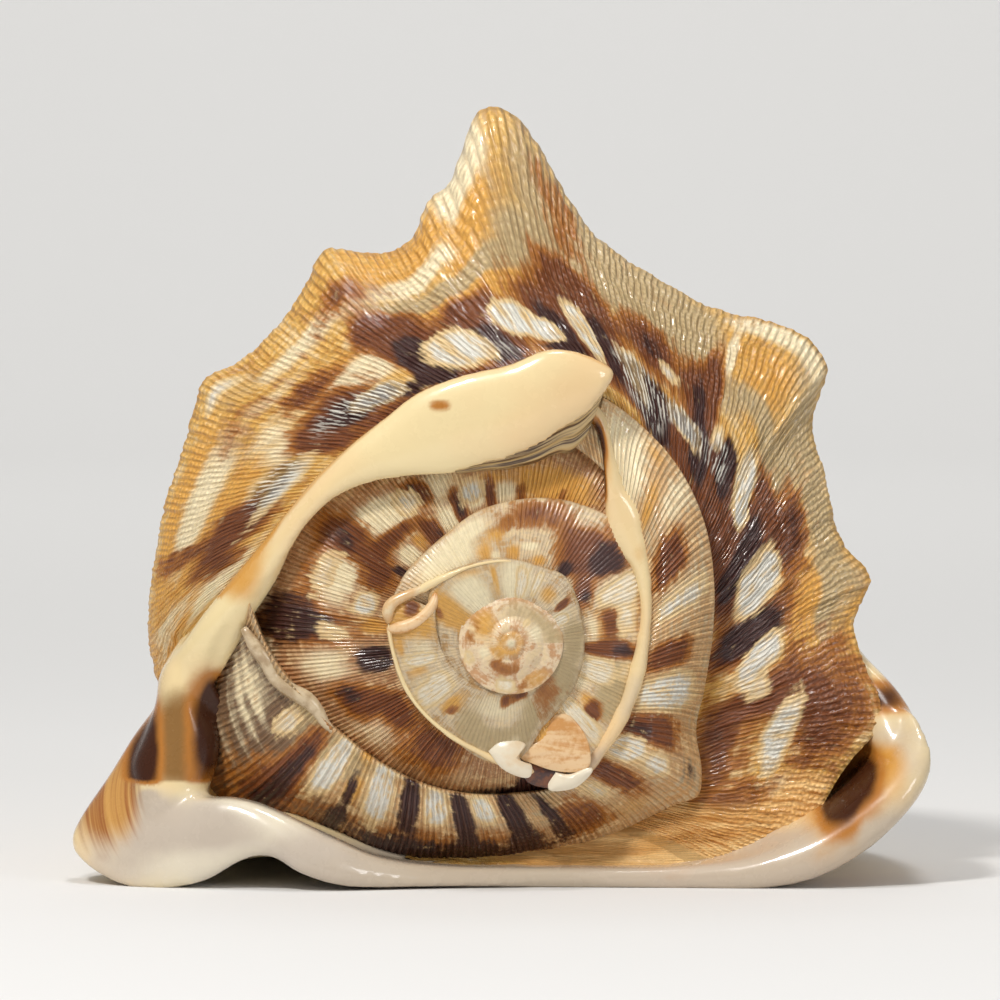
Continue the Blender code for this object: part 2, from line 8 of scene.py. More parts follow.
import bpy
import numpy as np
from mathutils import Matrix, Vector


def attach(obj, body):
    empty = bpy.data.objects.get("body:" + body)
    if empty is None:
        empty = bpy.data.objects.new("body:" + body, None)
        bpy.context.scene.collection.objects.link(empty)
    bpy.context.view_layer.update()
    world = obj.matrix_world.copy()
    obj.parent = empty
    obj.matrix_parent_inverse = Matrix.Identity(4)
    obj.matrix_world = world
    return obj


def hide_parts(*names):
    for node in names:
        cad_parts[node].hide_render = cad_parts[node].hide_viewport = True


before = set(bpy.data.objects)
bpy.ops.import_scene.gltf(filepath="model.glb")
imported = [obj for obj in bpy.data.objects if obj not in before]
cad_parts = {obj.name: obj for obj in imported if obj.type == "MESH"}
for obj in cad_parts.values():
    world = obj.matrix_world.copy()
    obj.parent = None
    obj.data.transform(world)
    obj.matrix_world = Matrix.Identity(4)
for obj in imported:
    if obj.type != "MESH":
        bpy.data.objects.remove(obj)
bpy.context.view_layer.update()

MM = 0.001
AXIS_X = 2.75
AXIS_Z = 62.5
MIDDLE_X = -0.06
MIDDLE_DEPTH = 131.09

CALLUS_GRAIN = 1.15      # grid of the glazed parts
CALLUS_SOFTENING = 5

# Shoulder of the last whorl without its horns: bearing, radius, depth.
SHOULDER = [
    (-180, 92, 55), (-165, 89, 54), (-150, 82, 50), (-140, 72, 46), (-130, 66, 42), (-120, 63, 39),
    (-105, 60, 36), (-90, 58, 34), (-75, 60.5, 33), (-60, 67, 32.5), (-50, 75.5, 32.5), (-42, 87, 33.5),
    (-35, 91, 35.5), (-28, 89.5, 38), (-20, 91.5, 40.5), (-15, 95.0, 42), (-12, 95.5, 43), (-6, 90.5, 46),
    (0, 87, 51), (8, 86, 55), (20, 87, 55), (30, 90, 55), (45, 96, 55), (60, 95, 55), (75, 98.5, 55),
    (90, 100, 55), (105, 101, 55), (120, 98, 55), (135, 96.5, 55), (150, 95, 55), (165, 92.5, 55),
    (180, 92, 55),
]

# Shoulder horns: bearing, height, spread and power towards growth, spread and power against growth.
HORNS = [
    (91.4, 33, 8.6, 1.7, 6.0, 3.0), (100.2, 9.5, 2.6, 2, 3.0, 2), (116, 9, 4.6, 1.8, 5.5, 1.6),
    (140.5, 4.6, 3.8, 1.8, 6, 1.6), (42, 10.5, 5.4, 2.8, 12, 1.8), (8.5, 6, 4.4, 2, 4.8, 2),
]
SHOULDER_DEPTH = 55.0

# Suture where the last whorl meets the spire: bearing, radius, depth.
SUTURE = [
    (-180, 80, 36), (-160, 74, 44), (-150, 66, 47), (-120, 52, 47), (-90, 48, 46), (-60, 50, 44),
    (-40, 53, 40), (-20, 46.5, 38), (0, 46.5, 38), (20, 50, 38), (40, 55, 37), (56, 60, 35), (68, 65, 30),
    (78, 67, 24), (90, 63, 20), (120, 59, 21), (150, 61, 25), (165, 68, 29), (180, 80, 36),
]

# Ramp from the suture to the shoulder: share of the way out, share of the way back, share of the horns.
RAMP_FORM = [(0.3, 0.28, 0.05), (0.6, 0.56, 0.3), (0.85, 0.78, 0.78), (0.95, 0.9, 0.97), (1.0, 1.0, 1.0)]
HORN_TILT = 0.1      # how far a horn leans towards the spire, as a share of its height
HORN_RUN = 24.0      # how far a horn runs back along the flank

# Hidden step under the spire, and the flat core behind it.
STEP_UNDER = 5.0
STEP_UNDER_DROP = 12.0
STEP_UNDER_DEPTHS = (42.0, 47.0)
CORE_SHARE = 0.35
CORE_DEPTH = 44.0

# Flank of the last whorl from the shoulder to the canal: depth, scale of the shoulder, shift X, lift Z.
FLANK = [
    (68, 0.99, 0.0, 0.0), (90, 0.955, 0.5, 0.0), (115, 0.885, 1.5, 0.0), (142, 0.785, 3.0, 0.0),
    (168, 0.655, 4.5, 0.0), (190, 0.52, 6.0, 2.0), (208, 0.405, 7.0, 6.0), (224, 0.305, 8.0, 14.0),
    (236, 0.24, 8.0, 22.0), (244, 0.19, 8.0, 29.0), (248.5, 0.13, 8.0, 33.5), (250, 0.06, 8.0, 36.0),
]
BELLY = 10.0      # height of the underside of the flank
LIP_TUCK = 0.28   # how far the flank draws in above the outer lip
LIP_BEARING = -34.0
KNOB_SPREAD = 6.0
KNOB_REACH = 12.0

# Rows of low knobs on the flank: depth, first bearing, last bearing, count, height.
KNOB_ROWS = [(104, 30, 165, 7, 5.5), (142, 25, 160, 7, 4.0)]

# Growth stages of the spire, oldest last: bearing, inner radius and depth, outer radius and depth, crown.
SECOND_WHORL = [
    (76, 52, 24, 66, 28, 1), (60, 48, 23, 62.5, 31, 2.5), (45, 43, 22.5, 59.5, 32.5, 3),
    (30, 39, 22.5, 56, 33, 3), (15, 35.5, 22.5, 52.5, 33, 3), (0, 34, 22.5, 50.3, 33, 3),
    (-15, 33.5, 22.5, 50, 33, 3), (-28, 34, 23.5, 52.5, 34, 3), (-36, 34.5, 24, 59, 35, 3),
    (-40, 35, 24.5, 61.5, 36, 3), (-46, 35.5, 25, 59, 37.5, 3), (-62, 38, 26, 56, 39, 3),
    (-75, 39, 27, 55.5, 40, 3), (-90, 39, 27, 57, 41, 4), (-105, 40.5, 26.5, 60.5, 42, 4),
    (-120, 42.5, 26, 66.5, 43, 4), (-135, 45, 25.5, 71, 43, 4), (-150, 48.5, 25, 84, 44, 3),
    (-165, 54, 24.5, 84, 44, 2), (-176, 60, 25, 78, 42, 2), (-188, 66, 27, 73, 36, 1),
]
THIRD_WHORL = [
    (-66, 27, 25, 39, 31, 1), (-80, 27, 23, 39.5, 32, 1.5), (-95, 27, 22.5, 41, 33, 2),
    (-110, 27, 22.5, 43, 34, 2.5), (-125, 27, 22.5, 46, 35, 3), (-140, 27.5, 22.5, 49, 36, 3.5),
    (-155, 28, 22.5, 54, 37, 4), (-170, 28.5, 22.5, 62, 38, 5), (-185, 29, 22.5, 66, 38, 6),
    (-200, 29.5, 22.5, 66, 36, 6), (-215, 29, 22.5, 64, 34, 5), (-230, 29, 22.5, 60, 32, 4),
    (-245, 30, 22.5, 56, 31, 3), (-260, 32, 23, 55, 30, 2.5), (-275, 33, 23, 55, 30, 2),
    (-290, 34, 23.5, 54, 30, 2), (-305, 35, 24, 52, 30, 1.5), (-320, 36, 25, 48, 30, 1),
]
FOURTH_WHORL = [
    (162, 18, 19.5, 31, 21.5, 0.5), (150, 19, 19, 31, 21, 0.8), (135, 20, 18.5, 30.5, 20.8, 1),
    (120, 20, 18.5, 31, 20.8, 1), (105, 19, 18.5, 33, 21, 1.2), (90, 18, 18.5, 34.6, 21.2, 1.3),
    (75, 18, 18.5, 36.5, 21.5, 1.3), (60, 18, 18.7, 38.2, 22, 1.3), (45, 17.5, 19, 39.5, 23, 1.2),
    (30, 17, 19, 38, 24, 1), (15, 16.5, 19.2, 35, 24, 1), (0, 16.5, 19.4, 33.5, 24, 1),
    (-20, 16.5, 19.7, 33, 24, 1), (-40, 17.5, 20, 34, 23.5, 1), (-60, 20, 20, 35, 22.5, 1),
    (-72, 22.5, 20, 36, 22, 1), (-80, 25, 20.5, 35.5, 22.5, 0.8),
]
FIFTH_WHORL = [
    (-62, 11.5, 16.5, 20, 19, 0.6), (-75, 12, 16.5, 24.5, 19, 0.8), (-85, 12.3, 16.5, 29, 19.3, 1),
    (-100, 12.8, 16.5, 30.3, 19.5, 1), (-120, 13.6, 16.5, 28.3, 19.3, 1), (-140, 14.8, 16.5, 28.3, 19, 1),
    (-160, 16.3, 16.5, 29.2, 18.8, 1), (-180, 18, 16.3, 29.8, 18.5, 0.8),
    (-195, 19.5, 16.2, 31.4, 18.3, 0.8), (-203, 20.5, 16.5, 30.5, 18.5, 0.5),
]
SIXTH_WHORL = [
    (268, 8, 15.9, 13.2, 16.6, 0.2), (245, 8, 15.9, 14.6, 17.0, 0.3), (215, 8, 16, 16.6, 17.6, 0.3),
    (182, 8, 16.2, 18.8, 18, 0.3), (165, 8.3, 15.8, 20.3, 17.8, 0.4), (150, 8.5, 15.5, 23.4, 17.5, 0.4),
    (135, 8.7, 15.2, 23.4, 17, 0.5), (120, 9, 15, 21.9, 16.8, 0.5), (105, 9, 15, 21, 16.8, 0.5),
    (90, 9.5, 15, 20.3, 16.8, 0.5), (70, 10, 15, 19.8, 16.8, 0.5), (50, 10, 15, 20.8, 17, 0.5),
    (35, 10, 15.2, 19.5, 17.2, 0.5), (20, 10.5, 15.3, 18.4, 17.5, 0.5), (0, 10.5, 15.5, 18, 17.8, 0.5),
    (-20, 10.5, 15.8, 18.4, 18, 0.5), (-40, 11, 16, 19.4, 18.3, 0.5), (-60, 11.5, 16.2, 21, 18.6, 0.6),
    (-72, 12, 16.4, 23, 19, 0.6),
]
SPIRE_BACK = 58.0    # depth that the stages of the spire reach inside the last whorl
CROWN_RADIUS = 13.0
CROWN_TIP = 12.0
CROWN_RISE = 3.6

# Distance between growth ribs, in degrees, by growth line.
RIBS_OF_SECOND = [(76, 1.5), (0, 1.7), (-60, 1.6), (-90, 1.7), (-150, 1.4), (-188, 1.2)]
RIBS_OF_THIRD = [(-66, 1.6), (-110, 2.0), (-140, 1.6), (-170, 1.2), (-200, 1.15), (-250, 1.4), (-300, 1.4)]

# Old mouth margins left on the spire as rolls: bearing, radius, depth of the crest, half width, height.
MARGIN_RIGHT = [
    (74, 62, 22, 2, 2), (68, 59, 21.5, 2.4, 3), (61, 50.5, 21, 3.2, 3), (54, 44.2, 21, 4.6, 2.8),
    (46, 40.6, 21, 4.9, 2.6), (38, 38.6, 20.9, 3.6, 2.4), (30, 37.4, 20.8, 2.4, 2.4),
    (15, 35, 20.6, 1.6, 2.2), (0, 33.1, 20.6, 1.7, 2.2), (-15, 32.6, 20.8, 1.9, 2.2),
    (-30, 33.2, 21.2, 2, 2), (-45, 34.6, 21.8, 2, 1.9), (-60, 37.1, 22.8, 1.8, 1.7),
    (-70, 38.8, 24, 1.4, 1.4),
]
MARGIN_LOWER = [
    (-80, 33, 18.6, 1.6, 1.4), (-90, 31.2, 18, 1.3, 1.3), (-105, 28.9, 18, 0.8, 1.0),
    (-125, 28.0, 18, 0.6, 0.8), (-150, 28.5, 17.9, 0.55, 0.8), (-175, 29.5, 17.6, 0.6, 0.8),
    (-188, 30.8, 17.4, 0.8, 1.0),
]
MARGIN_UPPER = [
    (152, 26.3, 16.5, 1.3, 1.4), (144, 24.6, 16.2, 1.1, 1.2), (134, 22.9, 16, 0.8, 0.9),
    (120, 21.5, 16.1, 0.5, 0.6), (105, 20.6, 16.3, 0.35, 0.4), (90, 20.1, 16.6, 0.3, 0.3),
]

# Broad glazed tongue of the last old margin: bearing, inner radius and depth, outer radius and depth,
# crown, thickness.
TONGUE = [
    (196, 72, 38, 90, 44, 3, 16), (187, 75.5, 31, 88, 37, 3, 20), (179, 72.5, 26, 80.5, 31, 2.5, 22),
    (170, 64.5, 23, 73, 27, 2.5, 20), (160, 60, 21, 67.3, 24.5, 2.5, 15),
    (150, 58.5, 19, 64.5, 22, 2.5, 12), (140, 56.3, 17.5, 63.5, 20, 2.5, 12),
    (130, 52, 16.5, 63.3, 18, 2.5, 11), (120, 47.3, 15.5, 64, 17, 2.5, 10),
    (110, 44.2, 15, 66.5, 16, 2.5, 9), (100, 44.2, 14.5, 67.7, 15, 2.5, 9),
    (90, 46, 14, 69.5, 14.5, 2.5, 9), (82, 49.5, 14, 74, 14.5, 2.5, 9), (76, 54.6, 14.5, 74.2, 15, 2, 9),
    (71.5, 60, 15.2, 73.4, 15.6, 1.6, 8), (68.6, 67.5, 15.8, 72.8, 16, 1.2, 7),
]

# Varix that runs down from the tongue to the shield: left edge X Z, right edge X Z, depth of the crest.
COLUMN = [
    (-75.6, 68, -71, 68, 36.5), (-79.6, 63, -71.8, 63, 34.5), (-83.6, 57, -72.8, 57, 33),
    (-86, 52, -73.5, 52, 32.5), (-87, 45, -73, 45, 32), (-89.5, 38, -70.5, 38, 31),
    (-92.5, 31, -71, 31, 30), (-92.5, 25, -73, 25, 29), (-93, 18, -75, 18, 29),
]
COLUMN_HEIGHT = 9.0
COLUMN_BACK = 14.0

# Flared left corner of the shield: outer edge X Z and depth, inner edge X Z and depth.
LOBE = [
    (-87, 44, 47, -80, 50, 42), (-93, 36, 46, -84, 38, 40), (-98.6, 27, 44, -84, 30, 37),
    (-106, 16, 42, -83, 26, 34), (-108.0, 9.5, 40, -81, 24, 32), (-103, 4, 36, -78, 23, 30),
    (-94, 0, 31, -74.5, 22.5, 28), (-85, -0.5, 28, -71, 22.5, 26), (-74, 1.9, 25, -67, 22.5, 25),
    (-64, 7.6, 22, -61.5, 21.5, 24), (-57, 8.3, 20, -56, 19.5, 23), (-50, 4.5, 18, -49.5, 16.5, 22),
    (-41, 1.5, 18.5, -41, 12.5, 22), (-32, 0.6, 20.5, -32, 8.5, 23), (-21, 0.5, 22.6, -21, 6.2, 25),
    (-8, 0.5, 24.4, -8, 5.2, 26.8), (6, 0.5, 26, 6, 4.8, 28.5),
]

# Rolled edge of the outer lip: X, depth, Z, radius.
LIP = [
    (56, 98, 74, 3.0), (66.5, 88, 71.5, 4.0), (76, 79, 66.5, 4.8), (82.5, 70, 60.5, 5.4), (88.5, 61, 52, 6),
    (95, 52.5, 44.5, 6.6), (99.0, 46.5, 37.5, 6.8), (100.0, 42, 30.5, 6.0), (94, 39, 24, 4),
    (86, 37, 17, 2.5),
]

# Middle of the rolled edge of the mouth shield, round from the outer lip: X, depth, Z, radius.
SHIELD = [
    (101.0, 43, 37.5, 6.8), (100.2, 57, 34, 7.2), (99, 76, 29, 7.5), (95, 98, 23, 7.5), (87, 124, 18, 7.5),
    (75, 152, 13, 8), (60, 182, 8, 8), (43, 206, 7, 7), (29, 225, 10, 6.5), (16, 238, 16, 6),
    (0, 238, 16, 6), (-12, 226, 10, 6), (-28, 206, 6, 6), (-47, 180, 5, 5), (-66, 148, 4.5, 5),
    (-81, 115, 5, 5), (-92, 85, 7, 5), (-99, 62, 11, 5.5), (-98, 50, 12, 6), (-86, 42, 8, 6),
    (-72, 37, 9, 5.5), (-60, 33, 13, 5), (-48, 31, 9, 4.5), (-34, 29, 4.2, 3.6), (-20, 29, 2.6, 2.8),
    (0, 29, 2.4, 2.6), (20, 29, 2.3, 2.6), (45, 28, 2.3, 3), (63, 27, 3.6, 4.2), (77.4, 27, 8, 6),
    (88.8, 29, 14.7, 6.8), (98.0, 32, 23, 7), (103.0, 37, 31, 7.2),
]
SHIELD_MID = (6.0, 120.0)
SHIELD_HOLLOW = 6.0    # height of the hollow middle of the shield
SHIELD_RISE = [(20, 1), (36, 2), (60, 14), (120, 22), (200, 14), (250, 8)]    # fillet under the flank
# Top of the shield from its edge inwards: share of the way out, part of the fillet's rise.
SHIELD_TOP = ((0.93, 0.1), (0.88, 0.3), (0.8, 0.56), (0.72, 0.8), (0.6, 0.95), (0.45, 1.0), (0.1, 1.0))

# Long narrow mouth: depth, X of its middle, half width, height of its roof.
MOUTH = [
    (46, 36, 4, 17), (58, 33.5, 8, 36), (80, 29, 10, 56), (115, 25, 10.5, 56), (150, 22, 10, 48),
    (180, 19, 9, 40), (205, 14, 7.5, 34), (224, 9, 6, 36), (240, 8, 5, 43), (262, 8, 5, 56),
]

# Markings, each as growth line, place between suture (0) and shoulder (1), half width, half length, strength.
LAST_MARKS = {
    "gold": [
        (150, 0.75, 8, 0.2, 0.7), (176, 0.8, 9, 0.3, 0.6), (140, 0.50, 11, 0.09, 1.0),
        (104, 0.49, 9, 0.08, 1.0), (80, 0.52, 12, 0.09, 1.1), (62, 0.56, 5, 0.1, 0.6),
        (76, 0.78, 5, 0.15, 1.1), (134, 0.86, 12, 0.08, 0.9), (25, 0.76, 5, 0.1, 1.0),
        (-20, 0.90, 14, 0.09, 0.8), (-14, 0.76, 8, 0.16, 0.9), (-50, 0.7, 8, 0.25, 0.8),
        (165, 0.62, 7, 0.4, 0.8), (88, 0.88, 8, 0.1, 0.7), (-9, 0.66, 2.6, 0.1, 0.9),
        (156, 0.34, 6, 0.1, 0.7), (-30, 0.52, 2.5, 0.1, 0.6), (30, 0.16, 6, 0.06, 0.7),
        (-3, 0.2, 2.4, 0.09, 0.9), (46, 0.5, 1.6, 0.12, 0.8), (110, 0.58, 3.5, 0.06, 0.7),
        (33, 0.76, 1.8, 0.14, 0.8), (12, 0.88, 9, 0.08, 0.6),
        (110, 1.95, 190, 0.12, 0.6),
    ],
    "pale": [
        (163, 0.17, 7, 0.09, 1.1), (139, 0.71, 11, 0.1, 1.0), (127, 0.40, 5, 0.07, 0.75),
        (106, 0.42, 6.5, 0.08, 1.2), (84, 0.76, 5, 0.05, 1.0), (113, 0.44, 4, 0.08, 0.6),
        (162, 0.6, 4, 0.3, 0.6), (107, 0.80, 7, 0.05, 0.8), (75, 0.93, 3.2, 0.08, 1.2),
        (25, 0.94, 7, 0.04, 1.0), (116, 0.68, 6, 0.04, 0.6), (31.6, 0.76, 0.7, 0.1, 1.1),
        (-24, 0.82, 5, 0.06, 0.6), (96, 0.75, 7, 0.05, 0.6), (-50, 0.7, 5, 0.09, 0.6),
        (17, 0.2, 1.6, 0.1, 0.7), (124, 0.52, 6, 0.05, 0.6), (48, 0.4, 4, 0.04, 0.7),
        (88, 0.46, 4, 0.05, 0.6),
    ],
    "buff": [
        (80, 0.61, 9, 0.035, 1.1), (92, 0.66, 7, 0.05, 0.8), (66, 0.68, 6, 0.05, 0.9),
        (56, 0.78, 13, 0.2, 1.0), (40, 0.72, 6, 0.22, 1.0), (12, 0.70, 7, 0.12, 0.8),
        (23, 0.63, 7, 0.04, 0.9), (-14, 0.78, 7, 0.04, 0.7), (-36, 0.86, 9, 0.12, 0.4),
        (6, 0.90, 15, 0.09, 0.8), (-20, 0.86, 14, 0.08, 0.5), (40, 0.52, 5, 0.08, 0.7),
        (30, 0.54, 4, 0.06, 0.6), (117, 0.82, 6, 0.06, 0.4),
        (110, 1.5, 190, 0.40, 0.55),
    ],
    "brown": [
        (-31, 0.62, 4, 0.12, 0.6), (-24, 0.78, 5, 0.1, 0.32), (-40, 0.84, 9, 0.14, 0.34),
        (-28, 0.92, 8, 0.1, 0.3), (88, 0.13, 26, 0.035, 0.8), (154, 0.40, 3, 0.13, 0.6),
        (146, 0.33, 5, 0.14, 1.1), (125, 0.25, 3, 0.09, 0.9), (117, 0.30, 8, 0.14, 1.0),
        (95.5, 0.38, 4.6, 0.18, 1.2), (96, 0.56, 5, 0.08, 0.9), (83, 0.34, 5, 0.16, 1.0),
        (83, 0.48, 3, 0.05, 0.7), (69, 0.36, 5, 0.18, 1.2), (60, 0.40, 4, 0.22, 1.1),
        (64, 0.62, 4, 0.08, 0.8), (48, 0.52, 5, 0.13, 1.0), (40, 0.17, 12, 0.09, 1.0),
        (37, 0.44, 3.6, 0.17, 1.0), (26, 0.27, 7, 0.12, 0.9), (20, 0.16, 10, 0.1, 0.8),
        (9, 0.40, 7, 0.16, 1.0), (6, 0.2, 8, 0.12, 0.9), (-11, 0.32, 5, 0.22, 1.0),
        (1, 0.68, 6, 0.11, 0.85), (-24, 0.60, 5, 0.08, 0.5), (-26, 0.40, 4, 0.12, 0.9),
        (-44, 0.34, 14, 0.16, 0.45), (-36, 0.72, 7, 0.12, 0.40), (-52, 0.56, 5, 0.12, 0.35),
        (113, 0.56, 6, 0.06, 0.7), (120, 0.70, 9, 0.05, 0.25), (100, 0.76, 8, 0.05, 0.25),
        (148, 0.72, 2.2, 0.2, 0.6), (158, 0.22, 3, 0.1, 0.5), (62, 0.88, 3.5, 0.1, 0.4),
        (34, 0.6, 1.4, 0.14, 0.8), (96, 0.82, 4, 0.05, 0.4), (-32, 0.22, 8, 0.1, 0.5),
        (9, 0.56, 7, 0.05, 0.6),
    ],
    "dark": [
        (117, 0.28, 5, 0.10, 0.8), (97, 0.28, 3.6, 0.11, 1.1), (95.5, 0.42, 3.0, 0.1, 0.8),
        (84, 0.28, 3.6, 0.11, 1.1), (70, 0.33, 2.6, 0.13, 1.2), (61, 0.32, 1.7, 0.16, 1.2),
        (37, 0.42, 1.7, 0.13, 0.9), (36, 0.20, 4, 0.06, 0.9), (26, 0.35, 3.4, 0.09, 1.2),
        (35.5, 0.27, 2.2, 0.06, 1.1), (6, 0.24, 4, 0.13, 1.1), (9, 0.42, 5, 0.12, 0.7),
        (-10, 0.30, 4.2, 0.16, 1.0), (-13, 0.44, 2.6, 0.1, 0.9), (1, 0.69, 4, 0.09, 0.5),
        (48, 0.54, 3.0, 0.07, 0.7), (51, 0.2, 5, 0.15, 1.0), (-30, 0.2, 6, 0.07, 0.35),
        (-40, 0.30, 7, 0.07, 0.25), (73, 0.23, 4, 0.03, 0.6), (104, 0.2, 5, 0.05, 0.8),
    ],
    "white": [
        (90, 0.31, 4.4, 0.085, 1.2), (77, 0.38, 3.2, 0.06, 1.3), (72.5, 0.33, 2.2, 0.05, 1.1),
        (64.6, 0.37, 1.6, 0.12, 1.3), (110, 0.26, 4.4, 0.05, 0.9), (41, 0.27, 4, 0.04, 1.0),
        (45, 0.46, 2.0, 0.04, 0.6), (31.5, 0.38, 1.6, 0.05, 0.6), (19, 0.46, 2.8, 0.08, 1.2),
        (16, 0.37, 2.6, 0.05, 0.9), (-1, 0.36, 4.6, 0.09, 1.2), (-1, 0.50, 3.6, 0.05, 1.0),
        (-17, 0.42, 2.5, 0.09, 1.2), (-20, 0.29, 3.4, 0.05, 0.7), (-35, 0.55, 6, 0.06, 0.8),
        (138, 0.25, 8, 0.05, 0.8), (-42, 0.60, 4, 0.05, 0.6), (119, 0.90, 3.6, 0.03, 0.7),
        # The white patch at growth line 55 is a painted highlight on glossy ribs.
        (-24, 0.37, 3, 0.05, 0.5), (55, 0.3, 3, 0.1, 0.5),
    ],
    "wood": [
        (-66, 0.62, 12, 0.42, 1.3), (-56, 0.86, 9, 0.14, 1.1), (274, 0.6, 24, 0.5, 1.3),
        (284, 0.95, 12, 0.3, 1.3),
    ],
    # Painted highlights: pale streaks on dark ribs that stand for glints of the lamps, with dark between
    # them.
    "painted_glint": [
        (-1, 0.24, 5, 0.05, 0.4), (-14, 0.34, 3, 0.08, 0.35), (138, 0.28, 9, 0.06, 0.8),
        (117, 0.30, 7, 0.12, 0.75), (108, 0.25, 5, 0.06, 0.7), (83, 0.28, 3.6, 0.10, 0.6),
        (54, 0.24, 6, 0.14, 1.1), (41, 0.28, 7, 0.05, 1.1), (29, 0.33, 3.4, 0.07, 0.9),
        (10, 0.46, 4, 0.08, 0.35), (0, 0.68, 6, 0.1, 0.3), (-34, 0.70, 6, 0.1, 0.4),
        (96, 0.46, 4, 0.1, 0.4), (137, 0.38, 6, 0.06, 0.6),
    ],
}
SECOND_MARKS = {
    "dusk": [(-174, 0.66, 15, 0.52, 1.3), (-158, 0.80, 14, 0.3, 1.0)],
    "gold": [
        (40, 0.35, 2.5, 0.3, 0.7), (46, 0.85, 5, 0.1, 0.6), (-42, 0.35, 2, 0.15, 0.6),
        (-141, 0.2, 2.0, 0.3, 1.0), (-126, 0.1, 4, 0.1, 0.5), (-62, 0.75, 6, 0.15, 0.4),
    ],
    "pale": [
        (-171, 0.40, 11, 0.028, 0.5), (-169, 0.52, 10, 0.024, 0.45), (-166, 0.63, 9, 0.024, 0.45),
        (-164, 0.75, 8, 0.022, 0.4), (53, 0.4, 8, 0.5, 1.0), (33, 0.7, 5, 0.3, 0.6), (8, 0.5, 6, 0.4, 0.6),
        (-176, 0.35, 8, 0.3, 0.5), (-88, 0.7, 5, 0.3, 0.3),
    ],
    "buff": [(-160, 0.15, 20, 0.12, 1.2), (-75, 0.5, 12, 0.4, 0.6), (-170, 0.6, 14, 0.3, 0.6)],
    "brown": [
        (22, 0.36, 6, 0.26, 1.0), (-10, 0.36, 5, 0.3, 0.9), (-37, 0.35, 4.5, 0.35, 1.0),
        (-57, 0.3, 3.5, 0.3, 1.0), (-74, 0.55, 6, 0.3, 0.6), (-156, 0.75, 6, 0.26, 0.5),
        (-180, 0.9, 10, 0.2, 0.3), (-115, 0.8, 30, 0.3, 0.5), (-155, 0.35, 2.6, 0.3, 0.9),
    ],
    "dark": [
        (-38, 0.25, 3, 0.2, 0.6), (-82, 0.35, 2.6, 0.35, 0.8), (-93, 0.3, 3.6, 0.35, 1.1),
        (-109, 0.3, 3.0, 0.35, 1.1), (-125, 0.25, 3.0, 0.3, 1.1), (-141.5, 0.45, 1.6, 0.35, 0.7),
        (-115, 0.82, 32, 0.18, 0.8), (-154.5, 0.5, 1.8, 0.35, 0.8), (-45, 0.85, 4, 0.1, 0.5),
    ],
    "white": [
        (7, 0.5, 3.4, 0.35, 0.7), (-24, 0.45, 5.5, 0.35, 1.0), (-46, 0.18, 4.5, 0.13, 1.0),
        (-47, 0.5, 3.5, 0.12, 0.7), (-65, 0.3, 3, 0.2, 0.5), (-102, 0.2, 3.0, 0.16, 1.0),
        (-117, 0.22, 3.0, 0.18, 1.1), (-134, 0.25, 3.2, 0.3, 1.0), (-148, 0.25, 2.6, 0.25, 1.0),
        (-163, 0.25, 2.6, 0.14, 0.6),
    ],
}
THIRD_MARKS = {
    "gold": [
        (-186, 0.15, 3.5, 0.12, 0.9), (-160, 0.35, 4, 0.1, 0.6), (-229, 0.15, 5, 0.08, 0.7),
        (-247, 0.45, 7, 0.12, 0.7), (-262, 0.35, 5, 0.1, 0.5), (-134, 0.15, 8, 0.1, 0.5),
        (-285, 0.3, 16, 0.25, 0.9),
    ],
    "pale": [
        (-223, 0.5, 8, 0.12, 1.1), (-172, 0.55, 5, 0.18, 0.8), (-200, 0.45, 9, 0.12, 0.8),
        (-220, 0.12, 4, 0.07, 1.1), (-243, 0.15, 4, 0.12, 1.0), (-256, 0.25, 4, 0.12, 1.0),
        (-268, 0.2, 4, 0.12, 0.9), (-145, 0.6, 9, 0.2, 0.5), (-183, 0.93, 8, 0.08, 1.0),
        (-204, 0.5, 6, 0.16, 0.5), (-245, 0.5, 8, 0.16, 0.7), (-231, 0.33, 4, 0.06, 0.8),
        (-110, 0.6, 8, 0.2, 0.3),
    ],
    "buff": [(-120, 0.6, 24, 0.3, 0.4)],
    "brown": [
        (-150, 0.25, 9, 0.14, 0.9), (-125, 0.35, 12, 0.3, 0.8), (-158, 0.5, 7, 0.14, 0.8),
        (-184, 0.6, 5, 0.3, 0.9), (-206, 0.2, 6, 0.12, 0.8), (-212, 0.55, 5, 0.2, 0.9),
        (-222, 0.3, 9, 0.06, 0.8), (-234, 0.14, 3.5, 0.12, 1.0), (-249, 0.22, 2.4, 0.16, 1.1),
        (-262, 0.2, 1.8, 0.16, 0.9), (-274, 0.16, 2, 0.12, 0.5), (-237, 0.5, 4, 0.12, 0.9),
        (-196, 0.62, 9, 0.1, 0.5), (-290, 0.2, 2, 0.14, 0.4),
    ],
    "dark": [
        (-172, 0.17, 5.5, 0.13, 1.1), (-161, 0.5, 4, 0.1, 0.6), (-185, 0.75, 8, 0.2, 0.8),
        (-211, 0.55, 3.5, 0.13, 0.6), (-212, 0.1, 2.6, 0.06, 0.8), (-249, 0.2, 1.6, 0.1, 0.7),
        (-185, 0.5, 3, 0.12, 0.6), (-236, 0.1, 2, 0.06, 0.6), (-237, 0.56, 2.6, 0.08, 0.6),
        (-80, 0.6, 8, 0.4, 0.8), (-90, 0.9, 20, 0.15, 0.7),
    ],
    "white": [
        # The white patch at growth line -194 is a painted glint.
        (-255, 0.3, 4, 0.1, 0.8), (-233, 0.46, 4, 0.1, 0.6), (-194, 0.22, 4, 0.07, 0.9),
        (-183, 0.42, 3, 0.12, 0.5), (-200, 0.55, 7, 0.08, 0.5),
    ],
}
